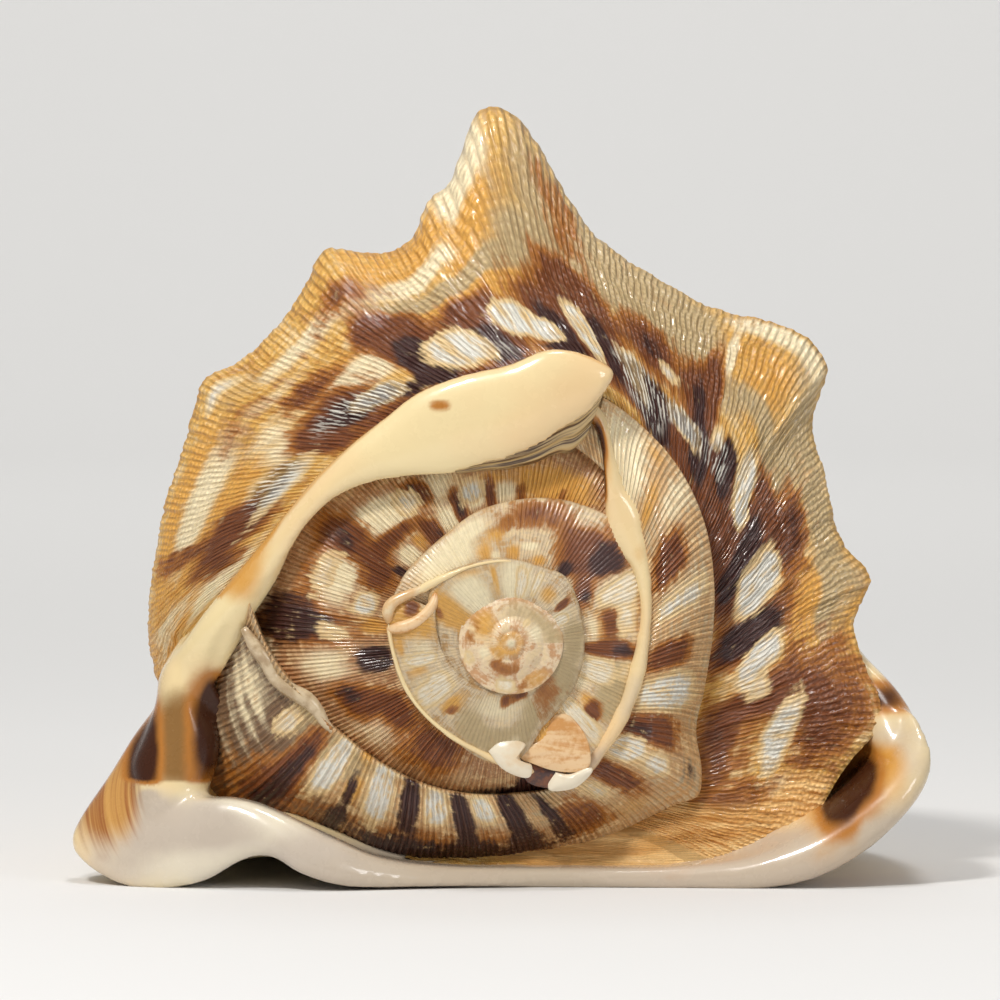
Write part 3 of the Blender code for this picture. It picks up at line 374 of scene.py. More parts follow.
FOURTH_MARKS = {
    "gold": [
        (107, 0.3, 6, 0.16, 0.8), (88, 0.25, 4, 0.14, 0.8), (72, 0.18, 5, 0.08, 0.7),
        (98, 0.55, 6, 0.1, 0.6), (-38, 0.45, 5, 0.25, 0.7), (-66, 0.5, 10, 0.5, 1.3),
        (140, 0.75, 10, 0.06, 0.5), (10, 0.35, 10, 0.12, 0.6),
    ],
    "pale": [
        (130, 0.5, 18, 0.4, 1.0), (100, 0.2, 3, 0.1, 0.7), (79, 0.35, 5, 0.06, 0.9),
        (45, 0.27, 3, 0.08, 0.8), (10, 0.25, 8, 0.08, 0.6), (63, 0.25, 2, 0.08, 0.6),
        (-30, 0.2, 6, 0.12, 0.6), (110, 0.8, 8, 0.12, 0.8),
    ],
    "buff": [(-22, 0.7, 12, 0.25, 0.9), (-35, 0.75, 6, 0.2, 0.6)],
    "brown": [
        (78, 0.78, 16, 0.2, 0.55), (55, 0.45, 9, 0.26, 0.7), (42, 0.6, 9, 0.26, 0.8),
        (10, 0.5, 8, 0.14, 0.7), (-5, 0.5, 4.5, 0.4, 1.0), (-43, 0.58, 3.5, 0.12, 1.0),
        (-39, 0.55, 4, 0.1, 0.6), (33, 0.2, 8, 0.12, 0.7),
    ],
    "dark": [
        (54, 0.22, 5, 0.12, 0.8), (40, 0.62, 9, 0.24, 0.8), (-5, 0.7, 3.5, 0.2, 0.7),
        (31, 0.2, 4, 0.1, 0.6), (-5, 0.2, 2, 0.1, 0.3),
    ],
    "white": [
        (25, 0.65, 4.5, 0.25, 1.0), (12, 0.72, 9, 0.12, 0.6), (-19, 0.35, 6.5, 0.25, 1.0),
        (-49, 0.5, 4.5, 0.4, 1.1), (-15, 0.8, 5, 0.1, 0.4),
    ],
}
FIFTH_MARKS = {
    "gold": [
        (-133, 0.5, 5, 0.2, 1.0), (-163, 0.6, 3.5, 0.2, 0.7), (-192, 0.5, 10, 0.5, 1.0),
        (-176, 0.85, 5, 0.1, 0.6),
    ],
    "pale": [
        (-100, 0.25, 22, 0.2, 0.6), (-88, 0.8, 4, 0.14, 0.5), (-150, 0.5, 12, 0.5, 0.5),
        (-176, 0.4, 7, 0.3, 0.5),
    ],
    "buff": [(-100, 0.7, 20, 0.2, 0.9), (-118, 0.5, 8, 0.3, 0.5), (-75, 0.5, 9, 0.4, 0.6)],
    "brown": [
        (-131, 0.6, 2.5, 0.1, 0.6), (-199, 0.55, 4, 0.15, 0.9), (-80, 0.1, 10, 0.08, 0.6),
        (-96, 0.12, 4, 0.08, 0.6),
    ],
    "white": [(-147, 0.55, 6, 0.35, 1.0), (-169, 0.5, 3.5, 0.3, 0.9), (-155, 0.3, 4, 0.15, 0.5)],
}
SIXTH_MARKS = {
    "gold": [
        (155, 0.5, 12, 0.5, 1.1), (104, 0.6, 2.5, 0.3, 0.9), (52, 0.45, 9, 0.2, 0.8),
        (122, 0.85, 12, 0.1, 0.6),
    ],
    "pale": [(128, 0.4, 14, 0.4, 1.0), (85, 0.5, 14, 0.5, 0.9), (26, 0.4, 6, 0.3, 0.9)],
    "buff": [(5, 0.7, 16, 0.3, 1.0), (-40, 0.5, 26, 0.5, 1.0)],
    "brown": [(158, 0.8, 4, 0.08, 0.6), (36, 0.6, 3, 0.2, 1.1), (-55, 0.5, 14, 0.4, 0.4)],
    "white": [(80, 0.5, 5, 0.35, 0.8), (66, 0.6, 3, 0.3, 0.8), (24, 0.35, 5, 0.25, 1.0)],
}
CROWN_MARKS = {
    "gold": [
        (180, 0.16, 400, 0.10, 0.5), (150, 0.6, 30, 0.25, 0.7), (215, 0.35, 30, 0.12, 0.6),
        (300, 0.85, 22, 0.2, 0.5),
    ],
    "pale": [(180, 0.0, 400, 0.08, 0.8), (200, 0.55, 14, 0.12, 0.7), (20, 0.5, 26, 0.16, 0.6)],
    "buff": [(70, 0.62, 46, 0.2, 0.6), (0, 0.8, 34, 0.22, 0.6), (325, 0.6, 14, 0.16, 0.4)],
    "brown": [(250, 0.50, 36, 0.11, 0.5), (165, 0.74, 16, 0.12, 0.3), (283, 0.84, 12, 0.1, 0.3)],
    "white": [(262, 0.84, 12, 0.12, 0.7), (52, 0.5, 8, 0.1, 0.5), (200, 0.85, 10, 0.1, 0.5)],
}
MARGIN_MARKS = {
    "brown": [(66, 0.25, 4, 0.25, 1.0), (59, 0.12, 3, 0.12, 0.8), (-192, 0.8, 5, 0.2, 0.5)],
    "orange": [(34, 0.6, 4, 0.25, 0.4), (62, 0.4, 5, 0.3, 0.5), (-90, 0.4, 5, 0.3, 0.4)],
    "grey": [(-25, 0.5, 12, 0.6, 0.5), (-55, 0.5, 8, 0.6, 0.5)],
}

# Growth lines of the last whorl: step between grid lines, and how far they lean by the shoulder.
LINE_STEP = 0.17
LINE_LEAN = 22.0
RIB_PITCH = 1.08
RAMP_ROWS = 40
FLANK_ROWS = 61
FLANK_SHARE = 3          # lines of the ramp to one line of the flank

# Colour marks of the glazed parts: X, depth, Z, half sizes, strength.
GLAZE_MARKS = {
    "brown": [
        (-90.3, 32, 35.0, 4.8, 14, 12.0, 1.2), (-73.6, 32, 37, 5.0, 14, 14, 0.85),
        (-71.6, 32, 42, 2.6, 14, 8.5, 1.0), (-15, 15, 121.5, 2.6, 6, 1.3, 0.55),
        (90, 38, 26, 5.6, 14, 7.5, 1.1), (85, 36, 18, 4.4, 12, 6.5, 1.0), (97, 46, 46.5, 6, 14, 3.4, 0.8),
        (-46, 20, 108, 3.2, 5, 1.2, 0.3), (-58, 20, 96, 2.4, 5, 0.9, 0.2),
    ],
    "orange": [
        (-65.5, 25, 79, 6.5, 14, 8, 0.75), (95, 38, 29, 7.5, 14, 7, 0.8), (97, 46, 46.5, 8.5, 16, 5, 0.8),
        (84, 36, 16, 6.5, 14, 8, 0.5), (-58, 25, 88, 3, 12, 5, 0.3), (60, 80, 12, 50, 60, 14, 0.35),
        (-60, 110, 12, 40, 50, 14, 0.3), (10, 225, 30, 40, 40, 40, 0.3),
    ],
    "gold": [(-80.5, 28, 37, 7.5, 14, 13, 1.0)],
    "white": [
        (-86, 26, 12, 26, 16, 14, 0.7), (-58, 22, 16, 16, 10, 7, 1.0), (-50, 22, 8, 22, 10, 8, 0.5),
        (102, 38, 24, 14, 14, 18, 0.3), (20, 28, 3, 90, 12, 6, 0.4),
    ],
    "grey": [
        (-80, 28, 17, 10, 12, 7, 0.8), (-89, 26, 22, 2.5, 8, 2.2, 0.8), (-66, 26, 16, 7, 10, 5, 0.7),
        (-50, 24, 12, 8, 8, 6, 0.5), (-50, 24, 2, 20, 8, 3, 0.5), (24, 28, 4, 76, 18, 9, 1.5),
        (-96, 30, 10, 10, 12, 12, 0.45), (88, 34, 10, 12, 14, 9, 0.7), (102, 42, 26, 14, 20, 20, 0.75),
        (-66, 26, 70, 3, 10, 16, 0.35),
    ],
}

# Cream edge that runs down beside the tongue's arm: X, depth, Z and radius.
FLANGE = [
    (-53.2, 25, 85.2, 1.0), (-56.8, 26, 80, 2.2), (-61, 27.5, 75, 3.2), (-64.8, 29, 70, 3.6),
    (-67.0, 30.5, 65, 3.4), (-69.6, 32.5, 59, 2.6), (-71.5, 35, 53, 1.4),
]

# How far the layers reach in from the tongue's inner edge, by bearing.
LAYER_REACH = [(69.6, 11.5), (72, 9.5), (76, 6.5), (82, 4.6), (90, 3), (98, 1.5), (108, 0.3)]

# Small scales where the margins of the oldest stages end: depth, dome, outline of X and Z.
SCALES = {
    "white_knob": (17.8, 1.4, [
        (-2.9, 35.1), (-0.4, 37.2), (3.2, 37.9), (6.4, 36.8), (4.9, 34.3), (5.4, 32.6), (7.9, 31.5),
        (7.5, 28.7), (4.7, 28.7), (0.4, 30.8),
    ]),
    "orange_scale": (19.8, 0.8, [
        (4.7, 35.8), (10.4, 37.9), (13.2, 43.7), (17.5, 43.7), (21.8, 37.9), (22.5, 31.5), (18.9, 29.7),
        (13.2, 30.1), (8.2, 31.8), (5.4, 32.9),
    ], 1.0),
    # A dark scale that stands for the shadow in the slit beside the orange scale: painted shadow.
    "slit_shadow": (21.0, 0.5, [
        (6, 32), (10.4, 32), (15.5, 30.4), (14.5, 26.0), (10.4, 25.8), (6.5, 27.5),
    ]),
    "white_scale": (19.8, 1.4, [
        (13.9, 29.6), (17.5, 29.2), (21.8, 30.8), (23.0, 29.6), (18.9, 25.8), (13.2, 24.9), (12.0, 26.5),
    ]),
}

# Curled corner of the fourth margin: depth, X, Z and radius along each roll.
CURLS = {
    "curl_crest": [
        (-27.2, 19.6, 66.9, 0.9), (-28.0, 18.0, 69.6, 1.5), (-26.8, 17.6, 72.2, 1.5),
        (-23.2, 17.4, 74.2, 1.2), (-19.6, 17.6, 75.6, 1.0), (-16.2, 17.7, 77.4, 0.85),
        (-12.6, 17.8, 79.2, 0.65), (-8.5, 17.9, 80.8, 0.45), (-4, 18.0, 82.0, 0.25),
    ],
    "curl_roll": [
        (-28.0, 18.6, 65.6, 0.8), (-25.6, 17.7, 65.9, 1.5), (-22.2, 17.3, 66.9, 1.7),
        (-19.2, 17.2, 68.8, 1.6), (-16.9, 17.3, 71.6, 1.3), (-15.9, 17.8, 74.6, 0.8),
    ],
    "shelf": [
        (-64.2, 25.6, 65.4, 0.9), (-61.0, 24.9, 60.6, 2.0), (-58.2, 24.9, 56.8, 2.0),
        (-56.4, 24.9, 53.0, 1.7), (-53, 24.7, 50.2, 1.9), (-48.6, 24.5, 47.7, 2.1),
        (-45.6, 24.4, 44.6, 1.7), (-43.6, 24.5, 41.4, 1.2), (-40, 24.7, 38.0, 0.5),
    ],
}

# Thickening behind the upper end of the outer lip: X, depth, Z, radius.
LIP_ROOT = [(60, 88, 62, 4.0), (69, 83, 61, 5.5), (76, 77, 57, 6.5), (81, 70, 50, 7.5), (85, 64, 42, 8.0),
            (88, 59, 34, 7.0)]
# Stripes on the left corner: X, Z of the point that they spread from, middle and half sizes of their area.
FAN_TOP = (-86.0, 45.0)
FAN = (-99, 24, 9, 15)

# Rows of brown crescents with a pale fleck beside each on the flank: place, first line, step, strength.
FLANK_ROWS_OF_MARKS = [
    (1.16, -62, 13.0, 0.75), (1.34, -55, 15.0, 0.85), (1.5, -60, 14.0, 0.75), (1.66, -52, 16.0, 0.7),
    (1.8, -58, 19.0, 0.6),
]
FLANK_LAST_LINE = 286

# How finely the rounded parts are divided.
WAVES = 5                # waves in an irregular wander
TONGUE_STEPS = 170
TONGUE_SPANS = (0.0, 0.015, 0.05, 0.1, 0.2, 0.35, 0.5, 0.65, 0.8, 0.9, 0.95, 0.985, 1.0)
RIDGE_SIDES = 13
TUBE_SIDES = 20
MARGIN_ARC = 15          # points over the arch of an old mouth margin
MARGIN_SKIRT = 8.0       # how far a margin reaches down beside its arch
CROWN_RIBS = 42
CUT_BELOW = 6.0          # how far the mouth's cutter reaches below the resting plane

# Colours of the shell.
OCHRE = (0.74, 0.44, 0.11)
OCHRE_DEEP = (0.52, 0.24, 0.04)
GOLD = (0.72, 0.38, 0.08)
RUST = (0.40, 0.15, 0.025)
STRAW = (0.78, 0.58, 0.30)
BUFF = (0.53, 0.40, 0.21)
CREAM = (0.84, 0.64, 0.36)
IVORY = (0.90, 0.78, 0.52)
GLAZE = (0.86, 0.70, 0.39)
PORCELAIN = (0.76, 0.75, 0.68)
MILK = (0.84, 0.75, 0.58)
CHESTNUT = (0.19, 0.055, 0.014)
CHOCOLATE = (0.050, 0.015, 0.012)
DUSK = (0.20, 0.115, 0.06)
HONEY = (0.86, 0.62, 0.33)
CHALK = (0.76, 0.71, 0.60)
ASH = (0.51, 0.43, 0.36)
AMBER = (0.68, 0.33, 0.06)
BRONZE = (0.27, 0.135, 0.035)
RUSSET = (0.46, 0.18, 0.03)
UMBER = (0.050, 0.014, 0.005)
WOOD = ((0.70, 0.36, 0.10), (0.95, 0.62, 0.26))
FAN_STRIPES = ((0.62, 0.33, 0.09), (0.34, 0.12, 0.03))
# Tones of the tongue's underside layers; the near-black one is partly painted shadow under the tongue's
# overhang.
LAYER_AND_SHADOW_TONES = ((0.10, 0.05, 0.02), (0.62, 0.44, 0.20))
# Painted shade: tint that darkens the grooves between ribs and cords.
GROOVE_SHADE_TINT = (0.50, 0.34, 0.24)
# Painted highlight on rib crests and beads: how much lighter their tops are made.
CREST_HIGHLIGHT_GAIN = (1.45, 1.42, 1.35)
CREST_HIGHLIGHT_LIFT = (0.06, 0.04, 0.02)
# How a whorl is painted, outermost kind last: mark, colour, where the colour starts and is full.
COATS = [
    ("gold", GOLD, 0.15, 0.8), ("buff", BUFF, 0.15, 0.8), ("dusk", DUSK, 0.2, 0.7),
    ("pale", IVORY, 0.15, 0.8), ("brown", RUST, 0.10, 0.42), ("brown", CHESTNUT, 0.34, 0.72),
    ("dark", CHOCOLATE, 0.30, 0.72), ("white", STRAW, 0.14, 0.36), ("white", None, 0.34, 0.66),
]

# Room, in metres: camera, floor and backdrop.
CAMERA_AIM = (0.00006, -0.10609, 0.0975)
CAMERA_AWAY = 2.0833
CAMERA_RISE = 3.0
LENS = 300.0
FLOOR_HALF = 4.0
SWEEP_START = 2.2        # how far back the floor starts to curve up
SWEEP_RADIUS = 0.8
FLOOR_TONE = (0.80, 0.80, 0.80)
ROOM_TONE = (1.0, 0.98, 0.94, 1.0)
ROOM_LIGHT = 0.30
# Lights: place, aim, size, power, colour.
LIGHTS = [
    ("key", (-0.55, -1.0, 1.25), (0, -0.05, 0.08), (0.22, 0.2), 15.0, (1.0, 0.97, 0.93)),
    ("fill", (1.0, -1.3, 0.6), (0, -0.05, 0.08), (0.3, 0.4), 2.8, (0.97, 0.98, 1.0)),
    ("top", (0.1, -0.25, 1.4), (0, -0.02, 0.08), (0.3, 0.2), 5.0, (1.0, 1.0, 1.0)),
    ("backdrop", (0, 1.3, 2.2), (0, 2.9, 0.7), (2.4, 0.6), 30.0, (1.0, 0.99, 0.97)),
]


def smooth(at, knots):
    """Catmull-Rom curve through rows of knots whose first column rises or falls steadily."""
    table = np.asarray(knots, float)
    if table[0, 0] > table[-1, 0]:
        table = table[::-1]
    x = table[:, 0]
    v = table[:, 1:]
    slope = np.gradient(v, x, axis=0)
    at = np.clip(np.asarray(at, float), x[0], x[-1])
    i = np.clip(np.searchsorted(x, at, side="right") - 1, 0, len(x) - 2)
    h = x[i + 1] - x[i]
    t = ((at - x[i]) / h)[..., None]
    h = h[..., None]
    return ((1 + 2 * t) * (1 - t) ** 2 * v[i] + t * (1 - t) ** 2 * h * slope[i]
            + t * t * (3 - 2 * t) * v[i + 1] + t * t * (t - 1) * h * slope[i + 1])


def along(knots, steps):
    """Rows interpolated at even steps along a list of knots taken in order."""
    rows = np.asarray(knots, float)
    order = np.arange(len(rows), dtype=float)
    at = np.linspace(0, len(rows) - 1, steps)
    return smooth(at, np.column_stack([order, rows]))


def wander(x, seed):
    """Smooth irregular wave of about -1 to 1 along x, one swing in about every unit."""
    pick = np.random.default_rng(seed)
    total = 0.0
    for k in range(WAVES):
        pace = 1.1 * 1.6 ** k * pick.uniform(0.8, 1.2)
        total = total + np.sin(x * pace * 2.0 + pick.uniform(0, 6.28)) / 1.45 ** k
    return total / 2.2


def bell(distance, before, before_power, after, after_power):
    """Rounded peak of height 1 with its own spread and fullness on each side."""
    spread = np.where(distance < 0, before, after)
    power = np.where(distance < 0, before_power, after_power)
    return np.exp(-np.abs(distance / spread) ** power)


def ease(x, low, high):
    """0 below low, 1 above high and a smooth step between."""
    t = np.clip((x - low) / (high - low), 0.0, 1.0)
    return t * t * (3 - 2 * t)


def wrapped(bearing):
    """Bearing brought into -180 to 180."""
    return (bearing + 180.0) % 360.0 - 180.0


def on_coil(bearing, radius, depth):
    """Point at a bearing and a radius round the coiling axis."""
    angle = np.radians(bearing)
    return np.stack([AXIS_X + radius * np.cos(angle), depth + 0 * angle, AXIS_Z + radius * np.sin(angle)], -1)


def outward(grid, around=False):
    """Unit normals of a grid of points, rows by sides."""
    down = np.gradient(grid, axis=0)
    if around:
        ring = np.concatenate([grid[:, -1:], grid, grid[:, :1]], 1)
        across = (ring[:, 2:] - ring[:, :-2]) / 2
    else:
        across = np.gradient(grid, axis=1)
    normal = np.cross(down, across)
    return normal / np.maximum(np.linalg.norm(normal, axis=2, keepdims=True), 1e-9)


def signed_volume(mesh):
    """Volume of a closed mesh, negative when it is inside out."""
    mesh.calc_loop_triangles()
    count = len(mesh.loop_triangles)
    index = np.empty(count * 3, np.int32)
    mesh.loop_triangles.foreach_get("vertices", index)
    place = np.empty(len(mesh.vertices) * 3, np.float32)
    mesh.vertices.foreach_get("co", place)
    corner = place.reshape(-1, 3).astype(float)[index].reshape(-1, 3, 3)
    return float(np.einsum("ij,ij->i", corner[:, 0], np.cross(corner[:, 1], corner[:, 2])).sum()) / 6


def keep_marks(mesh, marks):
    """Keeps on a mesh the marks that its finish reads."""
    for mark, values in marks.items():
        layer = mesh.attributes.new(mark, "FLOAT", "POINT")
        layer.data.foreach_set("value", np.asarray(values, np.float32))


def piece(name, points, faces, marks):
    """Mesh object from points in millimetres, lists of faces and marks."""
    mesh = bpy.data.meshes.new(name)
    mesh.from_pydata(((points - (MIDDLE_X, MIDDLE_DEPTH, 0.0)) * MM).tolist(), [], faces)
    keep_marks(mesh, marks)
    mesh.update()
    if signed_volume(mesh) < 0:
        mesh.flip_normals()
    shape = bpy.data.objects.new(name, mesh)
    bpy.context.scene.collection.objects.link(shape)
    return shape


def bands(index):
    """Four-sided faces between the rings of a grid of point numbers."""
    nxt = np.roll(index, -1, axis=1)
    return np.stack([index[:-1], nxt[:-1], nxt[1:], index[1:]], 2).reshape(-1, 4).tolist()


def caps(hub, first, last):
    """Fans that close a body: faces from the points hub and hub + 1 to its first and last ring."""
    faces = [[hub, int(b), int(a)] for a, b in zip(first, np.roll(first, -1))]
    return faces + [[hub + 1, int(a), int(b)] for a, b in zip(last, np.roll(last, -1))]


def loft(name, rings, marks):
    """Closed body over rings of points, with a fan at each end."""
    rows, sides = rings.shape[:2]
    index = np.arange(rows * sides).reshape(rows, sides)
    points = np.vstack([rings.reshape(-1, 3), rings[0].mean(0), rings[-1].mean(0)])
    faces = bands(index) + caps(rows * sides, index[0], index[-1])
    marks = {mark: np.broadcast_to(values, (rows, sides)).reshape(-1) for mark, values in marks.items()}
    marks = {mark: np.append(values, [values[index[0]].mean(), values[index[-1]].mean()])
             for mark, values in marks.items()}
    return piece(name, points, faces, marks)


def with_flank_rows(table):
    """The marks of a table and the rows of brown crescents and pale flecks on the flank."""
    table = {kind: list(patches) for kind, patches in table.items()}
    for place, first, step, strength in FLANK_ROWS_OF_MARKS:
        for k in range(int((FLANK_LAST_LINE - first) / step)):
            at = first + step * (k + 0.28 * math.sin(5 * k + 9 * place))
            size = 1 + 0.35 * math.sin(3.1 * k + 5 * place)
            table["brown"].append((at, place + 0.012 * math.sin(7 * k), 2.1 * size, 0.03 * size, strength))
            table["pale"].append((at + 3.4 * size, place, 2.0 * size, 0.026, 0.8))
    return table


def painted(marks, table):
    """Adds to the marks the strength of each kind of marking at every point."""
    line, out = marks["line"], marks["out"]
    for kind, patches in table.items():
        total = np.zeros(np.shape(line))
        for at, place, wide, long, strength in patches:
            away = np.abs((line - at) / wide) ** 2.6 + np.abs((out - place) / long) ** 2.6
            total = total + strength * np.exp(-0.7 * away)
        marks[kind] = np.minimum(total, 1.3)
    return marks


def lean_of(out):
    """How far a growth line has swung round by a place between suture (0) and shoulder (1)."""
    return LINE_LEAN * (1 - (1 - np.clip(out, 0, 1)) ** 1.7)


def last_whorl():
    """Last whorl: ribbed ramp behind the suture, horned shoulder, corded flank and canal."""
    line = np.concatenate([np.arange(-70, 190, LINE_STEP), np.arange(190, 289, 3.0)])
    line = line[: len(line) // FLANK_SHARE * FLANK_SHARE]
    rows, tints = [], []

    def station(bearing, radius, depth, out, centre_x=AXIS_X, centre_z=AXIS_Z):
        ring = on_coil(bearing, radius, depth)
        ring[:, 0] += centre_x - AXIS_X
        ring[:, 2] += centre_z - AXIS_Z
        rows.append(ring)
        tints.append((line[:: len(line) // len(bearing)], out + 0 * bearing))

    def edge(bearing):
        at = wrapped(bearing)
        shoulder, depth = smooth(at, SHOULDER).T
        horn = sum(height * bell(at - place, *sides) for place, height, *sides in HORNS)
        return shoulder, depth, horn

    suture = smooth(wrapped(line), SUTURE)
    station(line, suture[:, 0] * CORE_SHARE, CORE_DEPTH, 0.0)
    station(line, suture[:, 0] - STEP_UNDER, np.clip(suture[:, 1] + STEP_UNDER_DROP, *STEP_UNDER_DEPTHS), 0.0)
    shape = [(0, 0, 0), *RAMP_FORM]
    for t in np.linspace(0, 1, RAMP_ROWS) ** 0.92:
        bearing = line + lean_of(t)
        shoulder, depth, horn = edge(bearing)
        inner = smooth(wrapped(bearing), SUTURE)
        drop, share = smooth(t, shape)
        radius = inner[:, 0] + t * (shoulder - inner[:, 0]) + share * horn
        back = inner[:, 1] + drop * (depth - inner[:, 1]) - HORN_TILT * share * (1 - t) * horn
        station(bearing, radius, back, t)
    coarse = line[::FLANK_SHARE]
    bearing = wrapped(coarse + LINE_LEAN)
    shoulder, depth, horn = edge(bearing)
    scales = [(SHOULDER_DEPTH, 1.0, 0.0, 0.0), *FLANK]
    for down in np.linspace(0, 1, FLANK_ROWS + 1)[1:] ** 1.12:
        back = depth + (FLANK[-1][0] - depth) * down
        scale, shift, lift = smooth(back, scales).T
        run = np.maximum(back - SHOULDER_DEPTH, 0.0)
        horn_left = np.where(back < SHOULDER_DEPTH, 1.0, 0.8 + 0.2 * np.exp(-run / 3.0)) \
            * np.exp(-(run / HORN_RUN) ** 1.5)
        knobs = 0.0
        for row_depth, first, last, count, height in KNOB_ROWS:
            reach = np.exp(-((back - row_depth) / KNOB_REACH) ** 2)
            for at in np.linspace(first, last, count):
                knobs = knobs + height * reach * bell(bearing - at, KNOB_SPREAD, 1.8, KNOB_SPREAD, 1.8)
        tuck = LIP_TUCK * np.minimum(1.0, run / HORN_RUN)
        lip_side = 1.0 - tuck * bell(bearing - LIP_BEARING, 30, 2, 26, 2)
        radius = shoulder * scale * lip_side + horn_left * horn + knobs
        station(bearing, radius, back, 1 + down, AXIS_X + shift,
                BELLY + (AXIS_Z - BELLY) * scale + lift)

    dense = RAMP_ROWS + 2
    ramp, flank = np.array(rows[:dense]), np.array(rows[dense:])
    ramp[2:] += outward(ramp[2:], True) * ramp_relief(line, np.array([row[1] for row in tints[2:dense]]))
    flank += outward(flank, True) * flank_relief(coarse, np.array([row[1] for row in tints[dense:]]))
    return stitched("last_whorl", ramp, flank, tints)


def rib_wave(line, out):
    """Wavy growth ribs of the last whorl, -1 in a groove to 1 on a rib."""
    sway = 0.20 * np.sin(out * 36 + 2.2 * wander(line * 0.11, 6)) + 0.10 * np.sin(out * 87 + line * 0.9)
    return np.cos(2 * math.pi * (line + sway) / RIB_PITCH + 0.8 * wander(line * 0.12, 5))


def ramp_relief(line, out):
    """Height of growth ribs, folds and broad spiral cords on the ramp."""
    pick = wander(line * 0.35, 3) * wander(line * 0.06 + out * 9, 4)
    ribs = 0.17 * (1 + 0.8 * pick) * rib_wave(line, out) * (1 - 0.5 * ease(out, 0.85, 1))
    folds = 0.30 * wander(line * 0.16, 8) + 0.26 * wander(line * 0.42, 9)
    folds = folds + 0.16 * wander(line * 0.95 + out * 2, 13)
    cords = np.cos(2 * math.pi * (out * 17 + 0.3 * wander(line * 0.05, 11)))
    strength = 0.02 + 0.13 * ease(out, 0.35, 0.6) * (0.6 + 0.4 * wander(line * 0.2, 14))
    beside_lip = ease(-line, 18, 32) * ease(out, 0.5, 0.65)
    strength = strength + 0.16 * beside_lip
    ribs = ribs + 0.16 * beside_lip * np.cos(2 * math.pi * (line + 0.3 * np.sin(out * 20)) / 2.1)
    edges = ease(out, 0.0, 0.05)
    return ((ribs + folds + strength * cords) * edges)[..., None]


def flank_relief(line, out):
    """Height of ribs and cords on the flank."""
    ribs = 0.12 * wander(line * 0.9, 15)
    folds = 0.34 * wander(line * 0.16, 8) + 0.28 * wander(line * 0.42, 9)
    down = out - 1
    cords = 0.34 * np.cos(2 * math.pi * (down * 15 + 0.15 * wander(line * 0.05, 12)))
    fade = 1 - ease(down, 0.86, 0.98)
    return ((ribs + folds + cords * ease(down, 0.02, 0.1)) * fade)[..., None]


def stitched(name, fine, coarse, tints):
    """Closed body of a fine grid that runs on into a grid with fewer lines."""
    rows, sides = fine.shape[:2]
    more, half = coarse.shape[:2]
    top = np.arange(rows * sides).reshape(rows, sides)
    low = rows * sides + np.arange(more * half).reshape(more, half)
    step = sides // half
    rim = [np.roll(top[-1], -k)[::step] for k in range(step + 1)]
    faces = bands(top) + bands(low)
    faces += np.stack([*rim, np.roll(low[0], -1), low[0]], 1).tolist()
    faces += caps(rows * sides + more * half, top[0], low[-1])
    points = np.vstack([fine.reshape(-1, 3), coarse.reshape(-1, 3), fine[0].mean(0), coarse[-1].mean(0)])
    marks = {}
    for k, mark in enumerate(("line", "out")):
        flat = np.concatenate([row[k] for row in tints])
        marks[mark] = np.append(flat, [flat[0], flat[-1]])
    marks["rib"] = rib_wave(marks["line"], marks["out"])
    return piece(name, points, faces, painted(marks, with_flank_rows(LAST_MARKS)))


def plate(name, table, step, rows_across, pitch, height, paint, lean=0.0, form=None, collar=None, seed=1):
    """One stage of the spire: ribbed surface between two sutures, its outer edge rounded over a low wall."""
    form = form or [(0, 0), (0.25, 0.75), (0.5, 1), (0.75, 0.75), (1, 0)]
    first, last = table[0][0], table[-1][0]
    count = int(abs(last - first) / step)
    line = np.linspace(first, last, count)
    ring, outs = [], []

    def put(bearing, radius, depth, out):
        ring.append(on_coil(bearing, radius, depth))
        outs.append(out)

    spans = np.linspace(0, 1, rows_across)
    for t in spans:
        bearing = line + lean * (1 - (1 - t) ** 2)
        inner_r, inner_y, outer_r, outer_y, crown = smooth(bearing, table).T
        depth = inner_y + t * (outer_y - inner_y) - crown * smooth(t, form)[0]
        if collar is not None:
            depth = depth - collar(bearing, t)
        put(bearing, inner_r + t * (outer_r - inner_r), depth, t)
    bearing = line + lean
    inner_r, inner_y, outer_r, outer_y, crown = smooth(bearing, table).T
    face = np.stack(ring, 0)
    turns = np.concatenate([[0.0], np.cumsum(np.abs(np.diff(line)) / smooth(line, pitch)[1:, 0])])
    rib = np.cos(2 * math.pi * turns + 0.9 * wander(line * 0.2, seed))
    relief = height * rib * (1 + 0.4 * wander(line * 0.5, seed + 1))
    relief = relief + 0.8 * height * wander(line * 0.25, seed + 2)
    relief = np.broadcast_to(relief, (rows_across, count)).copy()
    normal = outward(face)
    if normal[rows_across // 2, count // 2, 1] > 0:
        normal = -normal
    face = face + normal * (relief * ease(spans, 0, 0.04)[:, None])[..., None]
    wall = [(0.3, 0.5), (0.38, 1.2), (0.1, 2.4), (-0.8, 5.0)]
    tail = [on_coil(bearing, outer_r + more, outer_y + back) for more, back in wall]
    tail.append(on_coil(bearing, outer_r - 2.5, SPIRE_BACK + 0 * outer_r))
    start = smooth(line, table)
    tail.append(on_coil(line, start[:, 0], SPIRE_BACK + 0 * line))
    tail.append(on_coil(line, start[:, 0] - 0.2, start[:, 1] + 2.0))
    grid = np.concatenate([face, np.array(tail)], 0)
    out = np.concatenate([spans, [1.02, 1.04, 1.08, 1.2, 1.3, -0.2, -0.05]])
    marks = {"line": np.broadcast_to(line[:, None], (count, len(out))),
             "out": np.broadcast_to(out[None, :], (count, len(out))),
             "rib": np.broadcast_to(rib[:, None], (count, len(out)))}
    return loft(name, np.swapaxes(grid, 0, 1), painted(marks, paint))


